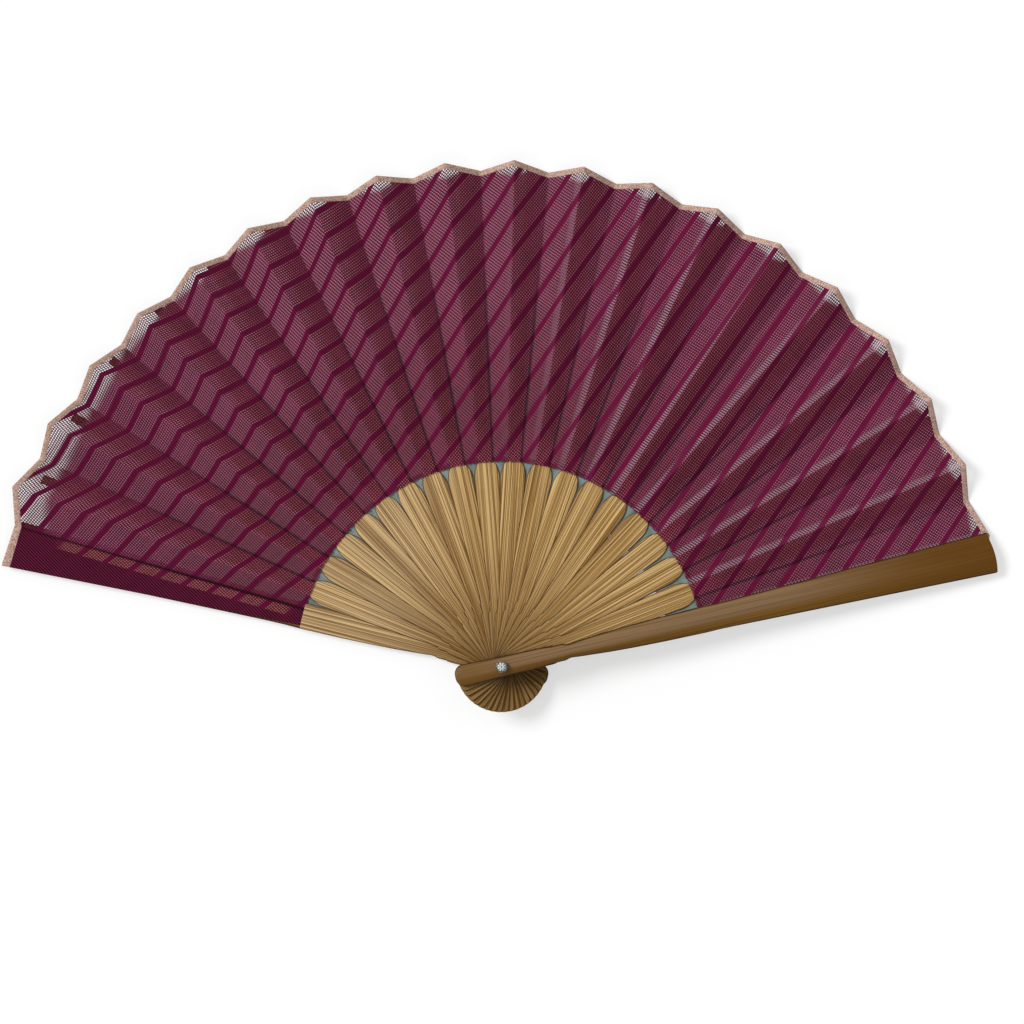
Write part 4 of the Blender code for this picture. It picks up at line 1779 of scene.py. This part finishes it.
    def cloth_point(self, number: int, along: float, across: float) -> tuple[Vector, ...]:
        """Place of a point of the gauze, and its UV values.

        Args:
            number: Number of the panel, 0 for the one on the rear guard.
            along: Share of the way from the inner to the outer edge.
            across: Share of the way from the left to the right fold.

        Returns:
            The place, and the "cloth", "rim", "seat" and "fold" UV values.
        """
        left, right = self.folds[number], self.folds[number + 1]
        start, end = (fold.point(blend(self.inner_radius, fold.reach, along)) for fold in (left, right))
        place = start.lerp(end, across)
        radius = place.to_2d().length
        place.z += self.cloth_lift + self.slack(number, along, across)
        place.z += self.rounding(left, radius, across) + self.rounding(right, radius, 1 - across)
        reach = blend(left.cloth_reach, right.cloth_reach, across)
        flat_radius = blend(self.inner_radius, reach, along)
        flat_turn = blend(left.cloth_turn, right.cloth_turn, across) - self.stripe_angle
        cloth = Vector((flat_radius * math.cos(flat_turn), flat_radius * math.sin(flat_turn)))
        corner, seat, fold = self.marks(number, across, radius, reach - flat_radius)
        return place, cloth, Vector((flat_radius - self.inner_radius, corner)), seat, fold

    def tape_profile(self, number: int, across: float) -> list[Point]:
        """Share along and height over the cloth of the ribbon folded round the outer edge.

        Args:
            number: Number of the panel; on the first two the ribbon starts broader.
            across: Share of the way from the left to the right fold.

        Returns:
            The ribbon's section, from its upper inner side round to the lower one.
        """
        narrowing = min(max((number + across) / 2, 0.0), 1.0)
        length = self.cloth_reach - self.inner_radius
        width = blend(self.first_tape_width, self.tape_width, narrowing) / length
        over = self.tape_overlap / length
        upper = [
            (1 - width, self.tape_lift * 0.5),
            (1 - width * 0.94, self.tape_lift),
            (1 - width * 0.1, self.tape_lift),
            (1 + over, self.tape_lift * 0.45),
        ]
        return upper + [(along, -lift) for along, lift in upper[::-1]]

    def strip_point(self, index: int, along: float, across: float) -> Vector:
        """Place of a point of the backing strip, which lies flat behind one stick.

        Args:
            index: Number of the stick.
            along: Share of the way from the strip's inner to its outer edge.
            across: Share of the way between the middles of the gaps beside the stick.

        Returns:
            The place.
        """
        lay = self.layout
        radius = blend(self.strip_inner, self.strip_outer, along)
        left = (lay.turn(max(index - 1, 0)) + lay.turn(index)) / 2
        right = (lay.turn(index) + lay.turn(min(index + 1, lay.front))) / 2
        turn = blend(left, right, across)
        height = lay.stick_height(index, radius) - lay.stick_thickness / 2 - self.strip_drop
        return Vector((radius * math.cos(turn), radius * math.sin(turn), height))

    def grids(self, number: int) -> list[list[list[tuple[Vector, ...]]]]:
        """Rows of points of one panel's gauze and ribbon, and of the strip where a stick carries it.

        Args:
            number: Number of the panel from the left.

        Returns:
            Two or three grids of places with their UV values.
        """
        columns = [self.fold_round * share for share in self.edge_shares] + [*self.middle_shares]
        columns += [1 - share for share in columns[-2::-1]]
        shares = [step / self.rows for step in range(self.rows - 1)]
        rows = [0.5 * (share + share**self.row_power) for share in shares] + [self.last_row_share, 1.0]
        found = [[[self.cloth_point(number, row, column) for column in columns] for row in rows], []]
        for section in zip(*(self.tape_profile(number, column) for column in columns)):
            band = []
            for (along, lift), column in zip(section, columns):
                place, *marks = self.cloth_point(number, along, column)
                band.append((place + Vector((0, 0, lift)), *marks))
            found[1].append(band)
        if number % 2 == 0:
            rows = [step / self.strip_rows for step in range(self.strip_rows + 1)]
            points = [[(self.strip_point(number // 2, row, column),) for column in columns] for row in rows]
            found.append(points)
        return found

    def panel(self, number: int, name: str) -> bpy.types.Object:
        """Make one panel as one mesh, with a material slot for each of its grids.

        Args:
            number: Number of the panel from the left.
            name: Name of the new object.

        Returns:
            The panel, bare.
        """
        work = bmesh.new()
        layers = [work.loops.layers.uv.new(key) for key in ("cloth", "rim", "seat", "fold")]
        for slot, grid in enumerate(self.grids(number)):
            made = [[(work.verts.new(point[0]), point[1:]) for point in row] for row in grid]
            for near, far in zip(made, made[1:]):
                for left in range(len(near) - 1):
                    corners = (near[left], far[left], far[left + 1], near[left + 1])
                    face = work.faces.new([corner[0] for corner in corners])
                    face.material_index = slot
                    face.smooth = True
                    for loop, corner in zip(face.loops, corners):
                        for layer, value in zip(layers, corner[1]):
                            loop[layer].uv = value
        mesh = bpy.data.meshes.new(name)
        work.to_mesh(mesh)
        work.free()
        thing = bpy.data.objects.new(name, mesh)
        bpy.context.scene.collection.objects.link(thing)
        return thing

    def flat_size(self, thing: bpy.types.Object, number: int) -> tuple[Point, float]:
        """Work out what one panel was cut to.

        Args:
            thing: The panel.
            number: Its number from the left.

        Returns:
            Its flat width and length, and its area with the ribbon and strip on it.
        """
        left, right = self.folds[number], self.folds[number + 1]
        across = left.point(self.cloth_reach) - right.point(self.cloth_reach)
        inner = self.inner_radius if number % 2 else self.strip_inner
        flat = (max(across.length, self.least_width), self.cloth_reach - inner)
        area = sum(face.area for face in thing.data.polygons)
        return flat, min(area, flat[0] * flat[1])

    def build(self, slips: list[bpy.types.Object]) -> None:
        """Build all the panels.

        Args:
            slips: The ribs' slips, which carry the falling panels; not used.
        """
        self.find_folds()
        front = self.layout.front
        finishes = (Finish.GAUZE, Finish.TAPE, Finish.BACKING)
        for number in range(len(self.folds) - 1):
            index, rising = divmod(number, 2)
            thing = self.panel(number, f"leaf_{'rise' if rising else 'fall'}_{index:02d}")
            flat, area = self.flat_size(thing, number)
            onto_peak = bool(rising) and 0 < index < front // 2
            body = self.layout.body(index + onto_peak)
            dress(thing, body, f"leaf_{index:02d}", "gauze", *finishes[: 3 - rising])
            if rising:
                self.gather(thing, number, onto_peak)
            elif 0 < index < front:
                flatten_to_stick(thing, self.layout, index)
        LOG.info("leaf: %d panels", len(self.folds) - 1)

    def gather(self, thing: bpy.types.Object, number: int, onto_peak: bool) -> None:
        """Work out the fold line that a rising panel holds to, and give the panel its own copy of its mesh.

        Args:
            thing: The panel.
            number: Its number from the left.
            onto_peak: Whether it holds to its peak, and not to its valley.
        """
        valley, peak = self.folds[number], self.folds[number + 1]
        hold, free = (peak, valley) if onto_peak else (valley, peak)
        start, end = hold.point(self.inner_radius), hold.point(hold.reach)
        line = (end - start).normalized()
        across = free.point(hold.reach) - end
        across -= line * across.dot(line)
        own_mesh(thing)


@dataclass
class Studio:
    """White table, soft light from the left and a camera straight above."""

    view_width: float = 0.3877
    view_centre: Point = (0.0039, 0.0582)
    camera_height: float = 2.4
    sensor: float = 36.0
    focus_level: float = 0.005
    far_clip: float = 20.0
    floor_half: float = 3.0
    floor_level: float = -0.00015
    floor_colour: Colour = (0.46, 0.46, 0.46)
    floor_glow: float = 0.56
    sun_strength: float = 2.3
    sun_spread: float = math.radians(22)
    sun_from: tuple[float, float, float] = (-0.62, 0.28, 0.75)
    world_strength: float = 0.45
    white: Colour = (1.0, 1.0, 1.0)

    def build(self) -> None:
        """Build the floor, the light and the camera."""
        self.build_floor()
        self.build_light()
        self.build_camera()
        bpy.context.scene.view_settings.view_transform = "Standard"
        LOG.info("studio: floor, light and camera")

    def build_floor(self) -> None:
        """White floor that keeps the fan's shadow."""
        bpy.ops.object.select_all(action="DESELECT")
        bpy.ops.mesh.primitive_plane_add(size=self.floor_half * 2, location=(0, 0, self.floor_level))
        floor = bpy.context.object
        floor.name = "table_top"
        bench = NodeBench("white_table", 0.9)
        bench.set(Base_Color=self.floor_colour, Specular_IOR_Level=0.0)
        path = bench.node("ShaderNodeLightPath", {}, {})
        rays = ("Is Camera Ray", "Is Glossy Ray", "Is Transmission Ray")
        camera, glossy, through = (Signal(bench, path.outputs[ray]) for ray in rays)
        seen = bench.maths("MAXIMUM", bench.maths("MAXIMUM", camera, glossy), through)
        values = {"Color": self.white, "Strength": seen * self.floor_glow}
        glow = bench.node("ShaderNodeEmission", {}, values)
        both = bench.node("ShaderNodeAddShader", {}, {0: bench.shader.outputs[0], 1: glow.outputs[0]})
        bench.join(both.outputs[0], bench.nodes["Material Output"].inputs["Surface"])
        floor.data.materials.append(bench.material)

    def build_light(self) -> None:
        """One soft sun from the left, and an even sky."""
        sun_data = bpy.data.lights.new("window_light", "SUN")
        sun_data.energy = self.sun_strength
        sun_data.angle = self.sun_spread
        sun = bpy.data.objects.new("window_light", sun_data)
        bpy.context.scene.collection.objects.link(sun)
        sun.rotation_euler = Vector(self.sun_from).to_track_quat("Z", "Y").to_euler()
        world = bpy.data.worlds.new("even_sky")
        world.use_nodes = True
        bpy.context.scene.world = world
        background = world.node_tree.nodes["Background"]
        background.inputs["Color"].default_value = (*self.white, 1.0)
        background.inputs["Strength"].default_value = self.world_strength

    def build_camera(self) -> None:
        """Camera straight above the table."""
        data = bpy.data.cameras.new("photo_camera")
        data.sensor_width = self.sensor
        data.sensor_fit = "HORIZONTAL"
        data.lens = self.sensor * (self.camera_height - self.focus_level) / self.view_width
        data.clip_end = self.far_clip
        camera = bpy.data.objects.new("photo_camera", data)
        camera.location = (*self.view_centre, self.camera_height)
        bpy.context.scene.collection.objects.link(camera)
        bpy.context.scene.camera = camera


def main() -> None:
    """Build the fan over its CAD model."""
    logging.basicConfig(level=logging.INFO, format="%(name)s: %(message)s")
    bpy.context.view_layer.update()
    layout = FanLayout()
    Studio().build()
    ribs = Ribs(layout)
    slips = ribs.build()
    Guards(layout, ribs).build()
    RivetAndStone(layout).build()
    Leaf(layout).build(slips)


if __name__ == "__main__":
    main()
